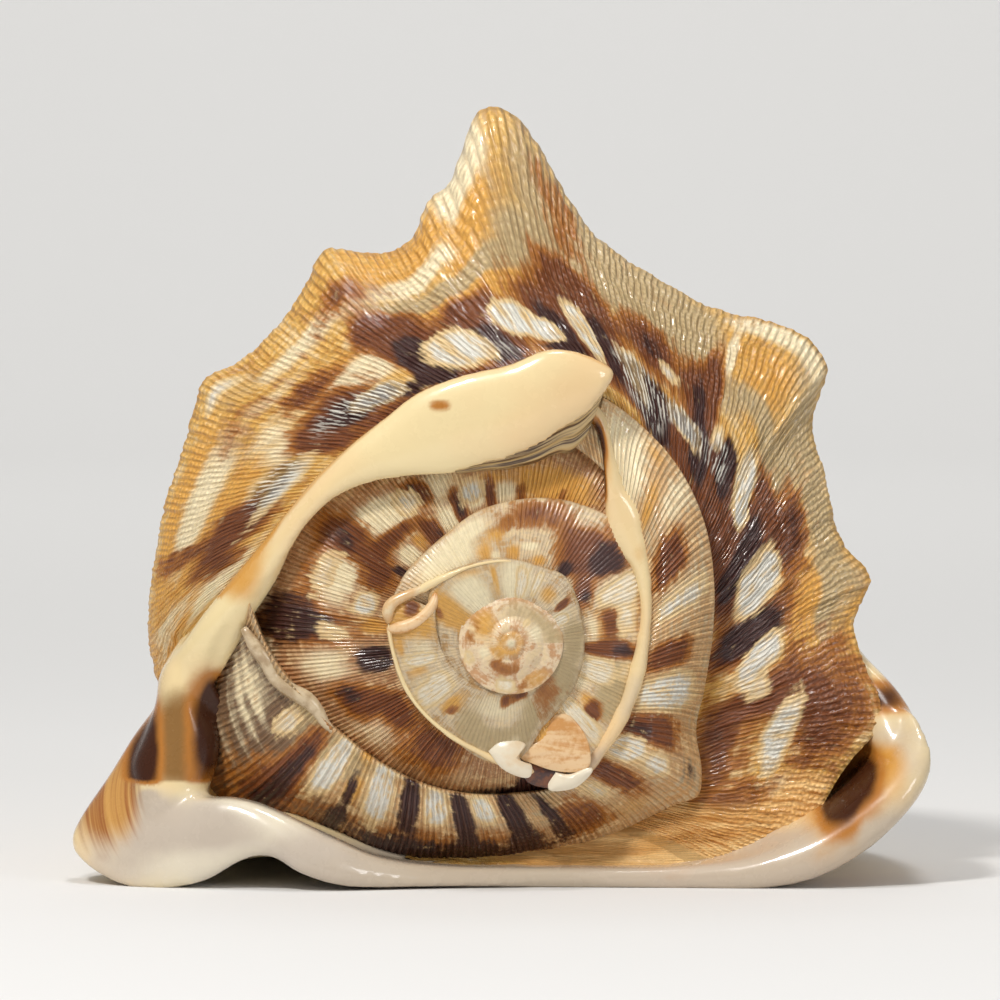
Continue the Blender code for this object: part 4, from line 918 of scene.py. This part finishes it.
def collar_of_second(bearing, t):
    """Thin upturned inner edge that the second whorl has where it turns under the left margin."""
    here = ease(-bearing, 92, 125)
    wide = 1 + 2.2 * ease(-bearing, 168, 186)
    return here * (1.6 + 0.9 * ease(-bearing, 150, 180)) * np.exp(-(t / (0.075 * wide)) ** 2)


def crown_dome():
    """Oldest whorls: a low dome with a spiral seam that ends in a small button."""
    bearing = np.arange(0, 360, 1.5)
    rings, outs = [], []
    for share in np.linspace(0.02, 1.0, 60):
        radius = CROWN_RADIUS * share
        turns = 2.6 * math.log(max(radius, 1.6) / 1.6) / math.log(CROWN_RADIUS / 1.6)
        phase = (turns + bearing / 360.0) % 1.0
        bulge = 0.55 * np.sin(math.pi * phase) ** 0.8 * ease(radius, 1.2, 3.0)
        ribs = 0.03 * np.cos(np.radians(bearing) * CROWN_RIBS) * ease(radius, 3.5, 6.0)
        button = 0.7 * math.exp(-(radius / 1.9) ** 2)
        depth = CROWN_TIP + 0.6 + CROWN_RISE * share ** 1.4 - bulge - ribs - button
        rings.append(on_coil(bearing, radius + 0 * bearing, depth))
        outs.append(share + 0 * bearing)
    rings.append(on_coil(bearing, CROWN_RADIUS + 0 * bearing, SPIRE_BACK))
    outs.append(outs[-1])
    marks = {"line": np.broadcast_to(bearing, (len(rings), len(bearing))), "out": np.array(outs),
             "rib": np.broadcast_to(np.cos(np.radians(bearing) * CROWN_RIBS), (len(rings), len(bearing)))}
    marks = painted(marks, CROWN_MARKS)
    marks["line"] = np.abs(marks["line"] - 180.0)
    return loft("crown", np.array(rings), marks)


def margin_roll(name, rows, steps, seed):
    """Raised roll that an old mouth margin left on the spire."""
    bearings = np.linspace(rows[0][0], rows[-1][0], steps)
    radius, crest, half, height = smooth(bearings, rows).T
    taper = np.sqrt(np.clip(np.minimum(np.arange(steps), np.arange(steps)[::-1]) / 5.0, 0.02, 1))
    swell = 1 + 0.16 * wander(bearings * 0.06, seed)
    half, height = half * taper * swell, height * taper
    ring = []
    for angle in np.linspace(0, math.pi, MARGIN_ARC):
        ring.append(on_coil(bearings, radius - half * math.cos(angle),
                            crest + height * (1.1 - math.sin(angle))))
    ring.append(on_coil(bearings, radius + half, crest + height + MARGIN_SKIRT))
    ring.append(on_coil(bearings, radius - half, crest + height + MARGIN_SKIRT))
    out = np.concatenate([np.linspace(0, 1, MARGIN_ARC), [1.2, -0.2]])
    marks = {"line": np.broadcast_to(bearings[:, None], (steps, len(out))),
             "out": np.broadcast_to(out, (steps, len(out)))}
    return loft(name, np.stack(ring, 1), painted(marks, MARGIN_MARKS))


def tongue():
    """Glazed tongue: a thick plate with rounded edges and a rounded tip that overhangs the spire."""
    bearings = np.linspace(TONGUE[0][0], TONGUE[-1][0], TONGUE_STEPS)
    inner_r, inner_y, outer_r, outer_y, crown, thick = smooth(bearings, TONGUE).T
    tip = np.clip((bearings - TONGUE[-1][0]) / 2.2, 0, 1)
    narrow = np.sqrt(1 - (1 - tip) ** 2) * 0.94 + 0.06
    mid = (inner_r + outer_r) / 2 + (1 - narrow) * 2.0
    inner_r, outer_r = mid + (inner_r - mid) * narrow, mid + (outer_r - mid) * narrow
    ring = []
    for t in TONGUE_SPANS:
        bulge = crown * (1 - abs(2 * t - 1) ** 3.2) * narrow
        ring.append(on_coil(bearings, inner_r + t * (outer_r - inner_r),
                            inner_y + t * (outer_y - inner_y) + 2.0 - bulge))
    width = outer_r - inner_r
    ring.append(on_coil(bearings, outer_r - 0.05 * width, outer_y + thick))
    ring.append(on_coil(bearings, inner_r + 0.3 * width, inner_y + thick))
    return loft("tongue", np.stack(ring, 1), {})


def ridge(name, left, right, crest, back):
    """Rounded ridge between two edges; crest is how far its middle stands nearer than the edges."""
    ring = []
    for angle in np.linspace(0, math.pi, RIDGE_SIDES):
        t = (1 - math.cos(angle)) / 2
        point = left + t * (right - left)
        point[:, 1] -= crest * math.sin(angle)
        ring.append(point)
    for edge in (right, left):
        deep = edge.copy()
        deep[:, 1] += back
        ring.append(deep)
    return loft(name, np.stack(ring, 1), {})


def column():
    """Varix that joins the tongue to the left corner of the shield."""
    left_x, left_z, right_x, right_z, crest = along(COLUMN, 60).T
    left = np.stack([left_x, crest + COLUMN_HEIGHT, left_z], 1)
    right = np.stack([right_x, crest + COLUMN_HEIGHT, right_z], 1)
    return ridge("column", left, right, COLUMN_HEIGHT, COLUMN_BACK)


def lobe():
    """Flared left corner of the shield, which thins out along the front."""
    rows = along(LOBE, 140)
    crest = 3.0 - 2.4 * ease(rows[:, 0], -45, -5)
    return ridge("left corner", rows[:, [0, 2, 1]], rows[:, [3, 5, 4]], crest, 9.0)


def tube(name, rows, steps):
    """Round roll along a path of X, depth, Z and radius."""
    table = along(rows, steps)
    path, radius = table[:, :3], table[:, 3]
    run = np.gradient(path, axis=0)
    run /= np.linalg.norm(run, axis=1)[:, None]
    side = np.cross(run, (0.0, 1.0, 0.0))
    side /= np.linalg.norm(side, axis=1)[:, None]
    up = np.cross(side, run)
    ring = []
    for angle in np.arange(TUBE_SIDES) * 2 * math.pi / TUBE_SIDES:
        offset = side * math.cos(angle) + up * math.sin(angle)
        ring.append(path + offset * radius[:, None])
    return loft(name, np.stack(ring, 1), {})


def shield():
    """Mouth shield: a plate with a rolled edge, a little hollow underneath."""
    rows = along(SHIELD + SHIELD[:1], 421)[:-1]
    edge_x, edge_y, height, roll = rows.T
    mid_x, mid_y = SHIELD_MID
    out = np.stack([edge_x - mid_x, edge_y - mid_y], 1)
    reach = np.linalg.norm(out, axis=1)
    out /= reach[:, None]
    rings = []
    for share in np.linspace(0.06, 0.9, 26):
        climb = 0.52 * ease(share, 0.5, 1.06) ** 1.3
        rings.append(np.stack([mid_x + out[:, 0] * reach * share, mid_y + out[:, 1] * reach * share,
                               SHIELD_HOLLOW + climb * np.maximum(height - roll - SHIELD_HOLLOW, 0.0)], 1))
    for angle in np.radians(np.linspace(-120, 90, 17)):
        from_mid = reach + roll * math.cos(angle)
        rings.append(np.stack([mid_x + out[:, 0] * from_mid, mid_y + out[:, 1] * from_mid,
                               height + roll * math.sin(angle)], 1))
    beside_lip = ease(edge_x, 55, 85) * (1 - ease(edge_y, 58, 100))
    for share, part in SHIELD_TOP:
        place_x = mid_x + out[:, 0] * reach * share
        place_y = mid_y + out[:, 1] * reach * share
        fall = beside_lip * ease(1 - share, 0.0, 0.3) * np.maximum(height - 8.0, 0)
        rise = smooth(place_y, SHIELD_RISE)[:, 0] * (1 - beside_lip)
        rings.append(np.stack([place_x, place_y, height + roll + part * rise - fall], 1))
    return loft("shield", np.array(rings), {})


def mouth():
    """Cutter of the mouth: a long narrow slit that opens below and into the canal."""
    rows = along(MOUTH, 120)
    depth, middle, half, roof = rows.T
    ring = []
    for angle in np.linspace(0, math.pi, 13):
        ring.append(np.stack([middle + half * math.cos(angle), depth,
                              roof - half * 1.2 * (1 - math.sin(angle))], 1))
    ring.append(np.stack([middle - half, depth, 0 * depth - CUT_BELOW], 1))
    ring.append(np.stack([middle + half, depth, 0 * depth - CUT_BELOW], 1))
    return loft("mouth cutter", np.stack(ring, 1), {})


def ground():
    """Cutter of everything below the resting plane."""
    corners = np.array([(-200, -100), (200, -100), (200, 400), (-200, 400)], float)
    rings = [np.column_stack([corners, np.full(4, z)]) for z in (-60.0, 0.0)]
    return loft("ground cutter", np.array(rings), {})


def joined(target, tools, operation):
    """Boolean of target with tools, made final; the tools are removed."""
    group = bpy.data.collections.new("tools")
    bpy.context.scene.collection.children.link(group)
    for tool in tools:
        bpy.context.scene.collection.objects.unlink(tool)
        group.objects.link(tool)
    step = target.modifiers.new("join", "BOOLEAN")
    step.operation = operation
    step.operand_type = "COLLECTION"
    step.collection = group
    step.solver = "MANIFOLD"
    settle(target)
    for tool in tools:
        bpy.data.objects.remove(tool)
    bpy.data.collections.remove(group)


def settle(shape):
    """Make the modifiers of a piece final."""
    view = bpy.context.evaluated_depsgraph_get()
    mesh = bpy.data.meshes.new_from_object(shape.evaluated_get(view))
    shape.modifiers.clear()
    shape.data = mesh


def callus():
    """Glazed parts that flow into one another: tongue, column, left corner, outer lip and shield."""
    shape = shield()
    shape.name = "callus"
    joined(shape, [tongue(), column(), lobe(), tube("outer lip", LIP, 90), tube("flange", FLANGE, 50),
                   tube("lip root", LIP_ROOT, 40)], "UNION")
    joined(shape, [mouth()], "DIFFERENCE")
    melt = shape.modifiers.new("melt", "REMESH")
    melt.mode = "VOXEL"
    melt.voxel_size = CALLUS_GRAIN * MM
    soft = shape.modifiers.new("soft", "SMOOTH")
    soft.factor = 0.5
    soft.iterations = CALLUS_SOFTENING
    settle(shape)
    joined(shape, [ground()], "DIFFERENCE")
    keep_marks(shape.data, spotted(shape))
    return shape


def spotted(shape):
    """Strength of each colour mark and of the corner's stripes at every point of the glazed parts."""
    place = np.empty(len(shape.data.vertices) * 3)
    shape.data.vertices.foreach_get("co", place)
    x, depth, z = (place.reshape(-1, 3) / MM + (MIDDLE_X, MIDDLE_DEPTH, 0.0)).T
    marks = {}
    for kind, table in GLAZE_MARKS.items():
        total = np.zeros(len(x))
        for at_x, at_depth, at_z, wide, deep, tall, strength in table:
            away = np.abs((x - at_x) / wide) ** 3 + np.abs((z - at_z) / tall) ** 3
            away = away + ((depth - at_depth) / deep) ** 2
            total = total + strength * np.exp(-0.7 * away)
        marks[kind] = total
    bearing = np.degrees(np.arctan2(z - AXIS_Z, x - AXIS_X)) % 360
    radius = np.hypot(x - AXIS_X, z - AXIS_Z)
    rows = smooth(np.clip(bearing, TONGUE[-1][0], 185), TONGUE)
    rim = ease(radius, rows[:, 2] - 1.6, rows[:, 2] - 0.2) * (bearing > 66) * (bearing < 172) * (depth < 45)
    marks["orange"] = marks["orange"] + 0.55 * rim
    for kind in ("brown", "gold"):
        marks[kind] = marks[kind] * np.where((x < -60) & (depth < 60), ease(z, 25.0, 26.8), 1.0)
    swing = np.arctan2(x - FAN_TOP[0], FAN_TOP[1] - z)
    marks["fan_line"] = np.degrees(swing) - 0.022 * ((x - FAN_TOP[0]) ** 2 + (z - FAN_TOP[1]) ** 2)
    away = -np.abs((x - FAN[0]) / FAN[2]) ** 3 - np.abs((z - FAN[1]) / FAN[3]) ** 3
    marks["fan"] = np.exp(away) * (depth < 60)
    return marks


def layers():
    """Layered underside of the tongue, which shows below its edge near the tip."""
    bearings = np.linspace(108, 69.6, 90)
    inner_r, inner_y = smooth(bearings, TONGUE).T[:2]
    reach = smooth(bearings, LAYER_REACH)[:, 0]
    spans = np.linspace(0, 1, 15)
    ring = []
    for t in spans:
        ripple = 0.45 * math.cos(2 * math.pi * 3 * t)
        ring.append(on_coil(bearings, inner_r + 2.5 - (reach + 2.5) * t, inner_y + 3.2 + 5.5 * t + ripple))
    ring.append(on_coil(bearings, inner_r - reach, inner_y + 14))
    ring.append(on_coil(bearings, inner_r + 4, inner_y + 14))
    out = np.concatenate([spans, [1.1, 0.0]])
    marks = {"line": np.broadcast_to(bearings[:, None], (len(bearings), len(out))),
             "out": np.broadcast_to(out, (len(bearings), len(out)))}
    return loft("tongue_layers", np.stack(ring, 1), marks)


def scale(name, depth, dome, outline, lined=0.0):
    """Small domed scale with the given outline."""
    edge = along(outline + outline[:1], 61)[:-1]
    middle = edge.mean(0)
    rings = []
    for share in (0.02, 0.2, 0.4, 0.58, 0.74, 0.87, 0.95, 1.0):
        flat = middle + (edge - middle) * share
        lines = 0.10 * np.cos(flat[:, 1] * 2.1 + 1.4 * np.sin(flat[:, 0] * 0.35)) * lined
        crown = dome * (1 - share ** 2.6) - lines
        rings.append(np.stack([flat[:, 0], depth - crown, flat[:, 1]], 1))
    back = middle + (edge - middle) * 0.98
    rings.append(np.stack([back[:, 0], depth + 16 + 0 * back[:, 0], back[:, 1]], 1))
    return loft(name, np.array(rings), {})


class Term:
    """Socket of a finish that can be used in sums; values use Math nodes, vectors and colours Vector Math."""

    def __init__(self, finish, socket):
        self.finish, self.socket = finish, socket

    def wide(self):
        return self.socket.type in ("VECTOR", "RGBA")

    def join(self, operation, first, second):
        wide = any(isinstance(term, Term) and term.wide() for term in (first, second))
        wide = wide or any(isinstance(term, tuple) for term in (first, second))
        values = {0: first, 1: second}
        if wide:
            values = {key: (value,) * 3 if isinstance(value, (int, float)) else value
                      for key, value in values.items()}
        return self.finish.node("VectorMath" if wide else "Math", {"operation": operation}, values)

    def __add__(self, other):
        return self.join("ADD", self, other)

    __radd__ = __add__

    def __sub__(self, other):
        return self.join("SUBTRACT", self, other)

    def __rsub__(self, other):
        return self.join("SUBTRACT", other, self)

    def __mul__(self, other):
        return self.join("MULTIPLY", self, other)

    __rmul__ = __mul__

    def most(self, other):
        return self.join("MAXIMUM", self, other)

    def wave(self):
        return self.finish.node("Math", {"operation": "SINE"}, {0: self})

    def clear(self):
        return self.finish.node("Math", {"operation": "ADD", "use_clamp": True}, {0: self, 1: 0.0})

    def step(self, low, high):
        """0 below low, 1 above high, smooth between; high below low turns it round."""
        if high < low:
            return 1 - self.step(high, low)
        return self.finish.node("MapRange", {"interpolation_type": "SMOOTHSTEP"},
                                {"Value": self, "From Min": low, "From Max": high})


class Finish:
    """Material whose shader is written as sums of terms."""

    def __init__(self, name):
        self.material = bpy.data.materials.new(name)
        self.material.use_nodes = True
        self.tree = self.material.node_tree
        self.surface = self.tree.nodes["Principled BSDF"]

    def node(self, kind, settings, values, output=0):
        """Any node: its settings are set first, then the values or links of its sockets."""
        node = self.tree.nodes.new("ShaderNode" + kind)
        for setting, value in settings.items():
            setattr(node, setting, value)
        for key, value in values.items():
            self.feed(node.inputs[key], value)
        return Term(self, node.outputs[output])

    def feed(self, socket, value):
        if isinstance(value, Term):
            self.tree.links.new(value.socket, socket)
        elif isinstance(value, tuple) and socket.type == "RGBA":
            socket.default_value = (*value[:3], 1.0)
        else:
            socket.default_value = value

    def mark(self, name):
        """Mark kept on the mesh."""
        return self.node("Attribute", {"attribute_name": name}, {}, "Fac")

    def place(self):
        """Place on the shell, in metres."""
        return self.node("TexCoord", {}, {}, "Object")

    def vector(self, x, y, z=0.0):
        return self.node("CombineXYZ", {}, {0: x, 1: y, 2: z})

    def noise(self, at, scale, detail=2.0, rough=0.5, warp=0.0):
        return self.node("TexNoise", {}, {"Vector": at, "Scale": scale, "Detail": detail, "Roughness": rough,
                                          "Distortion": warp}, "Fac")

    def blend(self, mask, first, second):
        """Colour first where mask is 0, second where it is 1."""
        return self.node("Mix", {"data_type": "RGBA"}, {0: mask, 6: first, 7: second}, 2)

    def bump(self, height, strength, distance):
        return self.node("Bump", {}, {"Height": height, "Strength": strength, "Distance": distance})

    def set(self, **values):
        """Values or links of the surface's own sockets."""
        for name, value in values.items():
            self.feed(self.surface.inputs[name.replace("_", " ")], value)
        return self.material


def whorl_finish(name, ground, second, crease, streak, groove_shade_depth=0.55, cords=34.0, fineness=1.5,
                 white=PORCELAIN, cloud=0.0, banding=0.6, beading=1.0, carving=1.0, depth=1.0):
    """Finish of a ribbed whorl: two ground tones, flames and clouds drawn out along the growth lines, with
    painted shade in the grooves and painted highlights on the rib crests and in glint streaks.
    """
    paint = Finish(name)
    line, out, rib = paint.mark("line"), paint.mark("out"), paint.mark("rib")
    fine = paint.noise(paint.vector(line * fineness, out * 11.0), 1.0, 3.0, 0.6)
    streaks = paint.noise(paint.vector(line * (fineness / 3), out * 3.6, 7.0), 1.0, 4.0, 0.6)
    broad = paint.noise(paint.vector(line * (fineness / 9), out * 3.0, 3.0), 1.0, 3.0, 0.55)
    grain = paint.noise(paint.place(), 900.0, 2.0, 0.6)
    bands = paint.noise(paint.vector(line * 0.06, out * 13.0, 17.0), 1.0, 3.0, 0.6)
    mottle = paint.noise(paint.place(), 170.0, 3.0, 0.55, 1.2)
    feather = ((fine - 0.5) * 1.5 + (streaks - 0.5) * 2.2 + (broad - 0.5) * 0.8) * streak
    feather = feather + (bands - 0.5) * banding + (mottle - 0.5) * cloud
    creases = (line * (2 * math.pi / crease) + (streaks - 0.5) * 9.0 + (fine - 0.5) * 4.0).wave()
    cord = out * (cords * 2 * math.pi) + (broad - 0.5) * 9.0 + (streaks - 0.5) * 9.0
    cord = (cord + (fine - 0.5) * 3.0).wave()
    outer = out.step(0.36, 0.58) * beading
    bead = (rib * 0.5 + 0.5) * (cord * 0.5 + 0.5) * outer
    tone = (broad - 0.5) * 0.8 + (fine - 0.5) * 0.7 + (streaks - 0.5) * 0.6 + (bands - 0.5) * 1.1
    tone = tone + (mottle - 0.5) * cloud
    colour = paint.blend((tone + 0.5).step(0.40, 0.78), ground, second)
    colour = paint.blend((tone + 0.5).step(0.48, 0.20) * 0.7, colour, CREAM)
    whites = paint.blend((streaks * 0.6 + fine * 0.4).step(0.46, 0.62), white, STRAW)
    for mark, tint, low, high in COATS:
        colour = paint.blend((paint.mark(mark) + feather * 0.5).step(low, high), colour, tint or whites)
    stripe = (rib * 0.35 + (fine - 0.5) * 3.0 + 0.5).step(0.45, 0.75)
    wood = (paint.mark("wood") + feather * 0.25).step(0.3, 0.7)
    grain_lines = paint.noise(paint.place() * (22.0, 60.0, 260.0), 1.0, 4.0, 0.6, 0.6)
    colour = paint.blend(wood, colour, paint.blend(grain_lines.step(0.38, 0.62), *WOOD))
    # Painted highlight: glint streaks of porcelain on the ribs, with chocolate between them.
    painted_glint = (paint.mark("painted_glint") + feather * 0.3).step(0.35, 0.8)
    colour = paint.blend(painted_glint * stripe * 0.75, colour, PORCELAIN)
    colour = paint.blend(painted_glint * (1 - stripe) * 0.6, colour, CHOCOLATE)
    # Painted shade in the grooves between growth ribs and between beaded cords.
    groove = ((creases * 0.35 + rib * 0.65) * -0.5 + 0.5 + (fine - 0.5) * 0.9).step(0.45, 1.0) * groove_shade_depth
    busy = (paint.mark("brown") + paint.mark("dark") + paint.mark("buff") * 0.6).clear()
    groove = groove * (0.55 + 0.45 * busy)
    groove = groove.most((0.1 - cord).step(0.2, 1.0) * outer * 0.22)
    colour = paint.blend(groove, colour, colour * GROOVE_SHADE_TINT)
    # Painted highlight: the rib crests are made lighter. The pale flecks on the beads are partly the shell's
    # net pattern and partly painted highlight.
    crest = (rib + (fine - 0.5) * 1.4).step(0.35, 1.1) * (0.32 * carving)
    colour = paint.blend((bead * 0.42).most(crest), colour, colour * CREST_HIGHLIGHT_GAIN + CREST_HIGHLIGHT_LIFT)
    colour = colour * ((0.85 + 0.3 * grain) * depth)
    height = (rib * 0.4 + creases * 0.15) * carving + fine * 0.4 + bead * 0.8 + grain * 0.1
    return paint.set(Base_Color=colour, Roughness=0.24 + 0.25 * fine, Coat_Weight=0.35, Coat_Roughness=0.08,
                     Specular_IOR_Level=0.4, Normal=paint.bump(height, 0.7, 0.0005))


def callus_finish():
    """Porcelain-like glaze of the tongue, the varix, the lip and the shield."""
    paint = Finish("callus glaze")
    cloud = paint.noise(paint.place(), 26.0, 3.0, 0.5)
    fine = paint.noise(paint.place(), 160.0, 3.0, 0.6)
    edge = (cloud - 0.5) * 0.5 + (fine - 0.5) * 0.25
    colour = paint.blend(cloud.step(0.35, 0.7), GLAZE, HONEY)
    colour = paint.blend((paint.mark("white") + edge).step(0.2, 0.9) * 0.8, colour, CHALK)
    colour = paint.blend((paint.mark("grey") + edge).step(0.25, 0.85) * 0.8, colour, ASH)
    colour = paint.blend((paint.mark("orange") + edge).step(0.2, 0.8), colour, AMBER)
    colour = paint.blend((paint.mark("gold") + edge).step(0.3, 0.8), colour, BRONZE)
    stripes = paint.noise(paint.vector(paint.mark("fan_line") * 0.28, cloud * 0.6), 1.0, 3.0, 0.6)
    colour = paint.blend((paint.mark("fan") * 1.3 + (stripes - 0.5) * 0.9).step(0.3, 1.1), colour,
                         paint.blend(stripes.step(0.36, 0.66), *FAN_STRIPES))
    brown = paint.mark("brown") + edge
    colour = paint.blend(brown.step(0.06, 0.45), colour, RUSSET)
    colour = paint.blend(brown.step(0.42, 0.9), colour, UMBER)
    dents = paint.noise(paint.place(), 70.0, 2.0, 0.5)
    height = cloud + fine * 0.15 + dents * (0.4 + 1.6 * paint.mark("white").step(0.2, 0.9))
    return paint.set(Base_Color=colour, Specular_IOR_Level=0.3, Roughness=0.22 + 0.1 * fine,
                     Coat_Weight=0.8 - 0.7 * brown.step(0.2, 0.8), Coat_Roughness=0.06,
                     Normal=paint.bump(height, 0.25, 0.001))


def layer_finish():
    """Thin brown and cream layers of the tongue's underside; their near-black bands are partly painted shadow
    under the tongue's overhang.
    """
    paint = Finish("layers")
    out, line = paint.mark("out"), paint.mark("line")
    shade = paint.noise(paint.vector(line * 0.05, out * 9.0), 1.0, 3.0, 0.6)
    colour = paint.blend(shade.step(0.40, 0.6), *LAYER_AND_SHADOW_TONES)
    return paint.set(Base_Color=colour, Roughness=0.35, Coat_Weight=0.5, Coat_Roughness=0.15)


def scale_finish(name, first, second, size, stretch=(1.0, 1.0, 1.0)):
    """Plain finish of a small scale, mottled or drawn out into lines."""
    paint = Finish(name)
    mottle = paint.noise(paint.place() * stretch, size, 3.0, 0.6, 0.5)
    fine = paint.noise(paint.place(), size * 5, 3.0, 0.6)
    colour = paint.blend((mottle + (fine - 0.5) * 0.4).step(0.4, 0.62), first, second)
    return paint.set(Base_Color=colour, Roughness=0.3, Coat_Weight=0.6, Coat_Roughness=0.12,
                     Normal=paint.bump(fine, 0.12, 0.0004))


def pieces():
    """Every piece of the shell."""
    whorl = last_whorl()
    joined(whorl, [mouth(), ground()], "DIFFERENCE")
    parts = [
        whorl,
        plate("second_whorl", SECOND_WHORL, step=0.22, rows_across=34, pitch=RIBS_OF_SECOND,
              height=0.16, paint=SECOND_MARKS, lean=8.0,
              collar=collar_of_second, seed=21),
        plate("third_whorl", THIRD_WHORL, step=0.24, rows_across=40, pitch=RIBS_OF_THIRD,
              height=0.17, paint=THIRD_MARKS,
              form=[(0, 0), (0.3, 0.7), (0.6, 1), (0.85, 0.65), (1, 0)], seed=31),
        plate("fourth_whorl", FOURTH_WHORL, step=0.4, rows_across=30, pitch=[(-90, 1.9), (140, 1.9)],
              height=0.12, paint=FOURTH_MARKS, seed=41),
        plate("fifth_whorl", FIFTH_WHORL, step=0.6, rows_across=24, pitch=[(-210, 2.4), (-60, 2.4)],
              height=0.05, paint=FIFTH_MARKS, seed=51),
        plate("sixth_whorl", SIXTH_WHORL, step=0.8, rows_across=20, pitch=[(-90, 3.0), (200, 3.0)],
              height=0.03, paint=SIXTH_MARKS, seed=61),
        crown_dome(),
        margin_roll("right_margin", MARGIN_RIGHT, 160, seed=71),
        margin_roll("lower_margin", MARGIN_LOWER, 160, seed=72),
        margin_roll("upper_margin", MARGIN_UPPER, 120, seed=73),
        callus(),
        layers(),
    ]
    parts += [scale(name, *shape) for name, shape in SCALES.items()]
    parts += [tube(name, rows, 50) for name, rows in CURLS.items()]
    return parts


def finishes():
    """Finish of each piece, by the name of the piece."""
    shell = whorl_finish("last whorl", OCHRE, OCHRE_DEEP, crease=0.54, streak=0.75,
                         groove_shade_depth=0.5, fineness=1.1, banding=1.0)
    second = whorl_finish("second whorl", (0.60, 0.36, 0.16), (0.64, 0.52, 0.33), crease=0.8, streak=0.7,
                          cords=16.0, fineness=1.0, banding=1.4, beading=0.6)
    third = whorl_finish("third whorl", (0.44, 0.21, 0.09), (0.68, 0.46, 0.24), crease=0.75, streak=0.8,
                         cords=12.0, fineness=1.1, cloud=0.5, banding=0.8, beading=0.2)
    inner = whorl_finish("inner whorls", (0.68, 0.54, 0.36), (0.60, 0.36, 0.15), crease=1.4, streak=0.35,
                         groove_shade_depth=0.10, white=MILK, cloud=1.6, banding=0.2, beading=0.0,
                         carving=0.25)
    oldest = whorl_finish("oldest whorls", (0.66, 0.53, 0.36), (0.56, 0.34, 0.14), crease=1.4, streak=0.35,
                          groove_shade_depth=0.10, white=MILK, cloud=1.8, banding=0.2, beading=0.0,
                          carving=0.25, depth=0.8)
    crown = whorl_finish("crown", (0.84, 0.66, 0.44), (0.62, 0.34, 0.16), crease=5.0, streak=0.3,
                         groove_shade_depth=0.04, fineness=0.2, white=MILK, cloud=1.6, banding=0.2,
                         beading=0.0, carving=0.08, depth=0.92)
    glaze = callus_finish()
    pale = scale_finish("pale scale", (0.86, 0.77, 0.60), (0.80, 0.62, 0.40), 60.0)
    fold = scale_finish("fold", (0.80, 0.64, 0.40), (0.72, 0.46, 0.22), 90.0)
    shelf = scale_finish("shelf", (0.64, 0.51, 0.33), (0.42, 0.29, 0.16), 90.0)
    orange = scale_finish("orange scale", (0.84, 0.58, 0.32), (0.66, 0.32, 0.10), 150.0, (0.35, 1.0, 1.8))
    # Painted shadow: near-black finish of the slit.
    slit = scale_finish("slit", CHOCOLATE, CHESTNUT, 200.0)
    return {
        "last_whorl": shell, "second_whorl": second, "third_whorl": third, "fourth_whorl": inner,
        "fifth_whorl": oldest, "sixth_whorl": oldest, "crown": crown, "callus": glaze,
        "right_margin": glaze, "lower_margin": glaze, "upper_margin": glaze, "tongue_layers": layer_finish(),
        "white_knob": pale, "white_scale": pale, "orange_scale": orange, "slit_shadow": slit,
        "curl_crest": fold, "curl_roll": orange, "shelf": shelf,
    }


def build():
    """The shell: every piece with its finish, riding on the one body."""
    parts = pieces()
    finish_of = finishes()
    for part in parts:
        part.data.materials.clear()
        part.data.materials.append(finish_of[part.name])
        part.data.shade_smooth()
        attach(part, "root")
        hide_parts("helmet_shell")


def floor():
    """Plain pale floor that curves up into a backdrop."""
    profile = [(-FLOOR_HALF, 0.0), (SWEEP_START, 0.0)]
    for angle in np.linspace(0, math.pi / 2, 14)[1:]:
        profile.append((SWEEP_START + SWEEP_RADIUS * math.sin(angle),
                        SWEEP_RADIUS - SWEEP_RADIUS * math.cos(angle)))
    profile.append((SWEEP_START + SWEEP_RADIUS, FLOOR_HALF))
    points = [(x, y, z) for y, z in profile for x in (-FLOOR_HALF, FLOOR_HALF)]
    faces = [[2 * k - 2, 2 * k - 1, 2 * k + 1, 2 * k] for k in range(1, len(profile))]
    mesh = bpy.data.meshes.new("floor")
    mesh.from_pydata(points, [], faces)
    mesh.shade_smooth()
    sheet = bpy.data.objects.new("floor", mesh)
    bpy.context.scene.collection.objects.link(sheet)
    mesh.materials.append(Finish("pale paper").set(Base_Color=FLOOR_TONE, Roughness=0.9))


def lamps():
    """Soft lights and the light of the room."""
    for name, place, aim, size, power, colour in LIGHTS:
        lamp = bpy.data.lights.new(name, "AREA")
        lamp.shape = "RECTANGLE"
        lamp.size, lamp.size_y = size
        lamp.energy = power
        lamp.color = colour
        holder = bpy.data.objects.new(name, lamp)
        bpy.context.scene.collection.objects.link(holder)
        holder.location = place
        holder.rotation_euler = (Vector(aim) - Vector(place)).to_track_quat("-Z", "Y").to_euler()
    world = bpy.data.worlds.new("room")
    world.use_nodes = True
    world.node_tree.nodes["Background"].inputs["Color"].default_value = ROOM_TONE
    world.node_tree.nodes["Background"].inputs["Strength"].default_value = ROOM_LIGHT
    bpy.context.scene.world = world
    bpy.context.scene.view_settings.view_transform = "Standard"


def camera():
    """Long lens, a little above the level of the spire."""
    lens = bpy.data.cameras.new("camera")
    lens.lens = LENS
    lens.sensor_width = 36.0
    holder = bpy.data.objects.new("camera", lens)
    bpy.context.scene.collection.objects.link(holder)
    tilt = math.radians(CAMERA_RISE)
    holder.location = (CAMERA_AIM[0], CAMERA_AIM[1] - CAMERA_AWAY * math.cos(tilt),
                       CAMERA_AIM[2] + CAMERA_AWAY * math.sin(tilt))
    holder.rotation_euler = (math.pi / 2 - tilt, 0, 0)
    bpy.context.scene.camera = holder


build()
floor()
lamps()
camera()
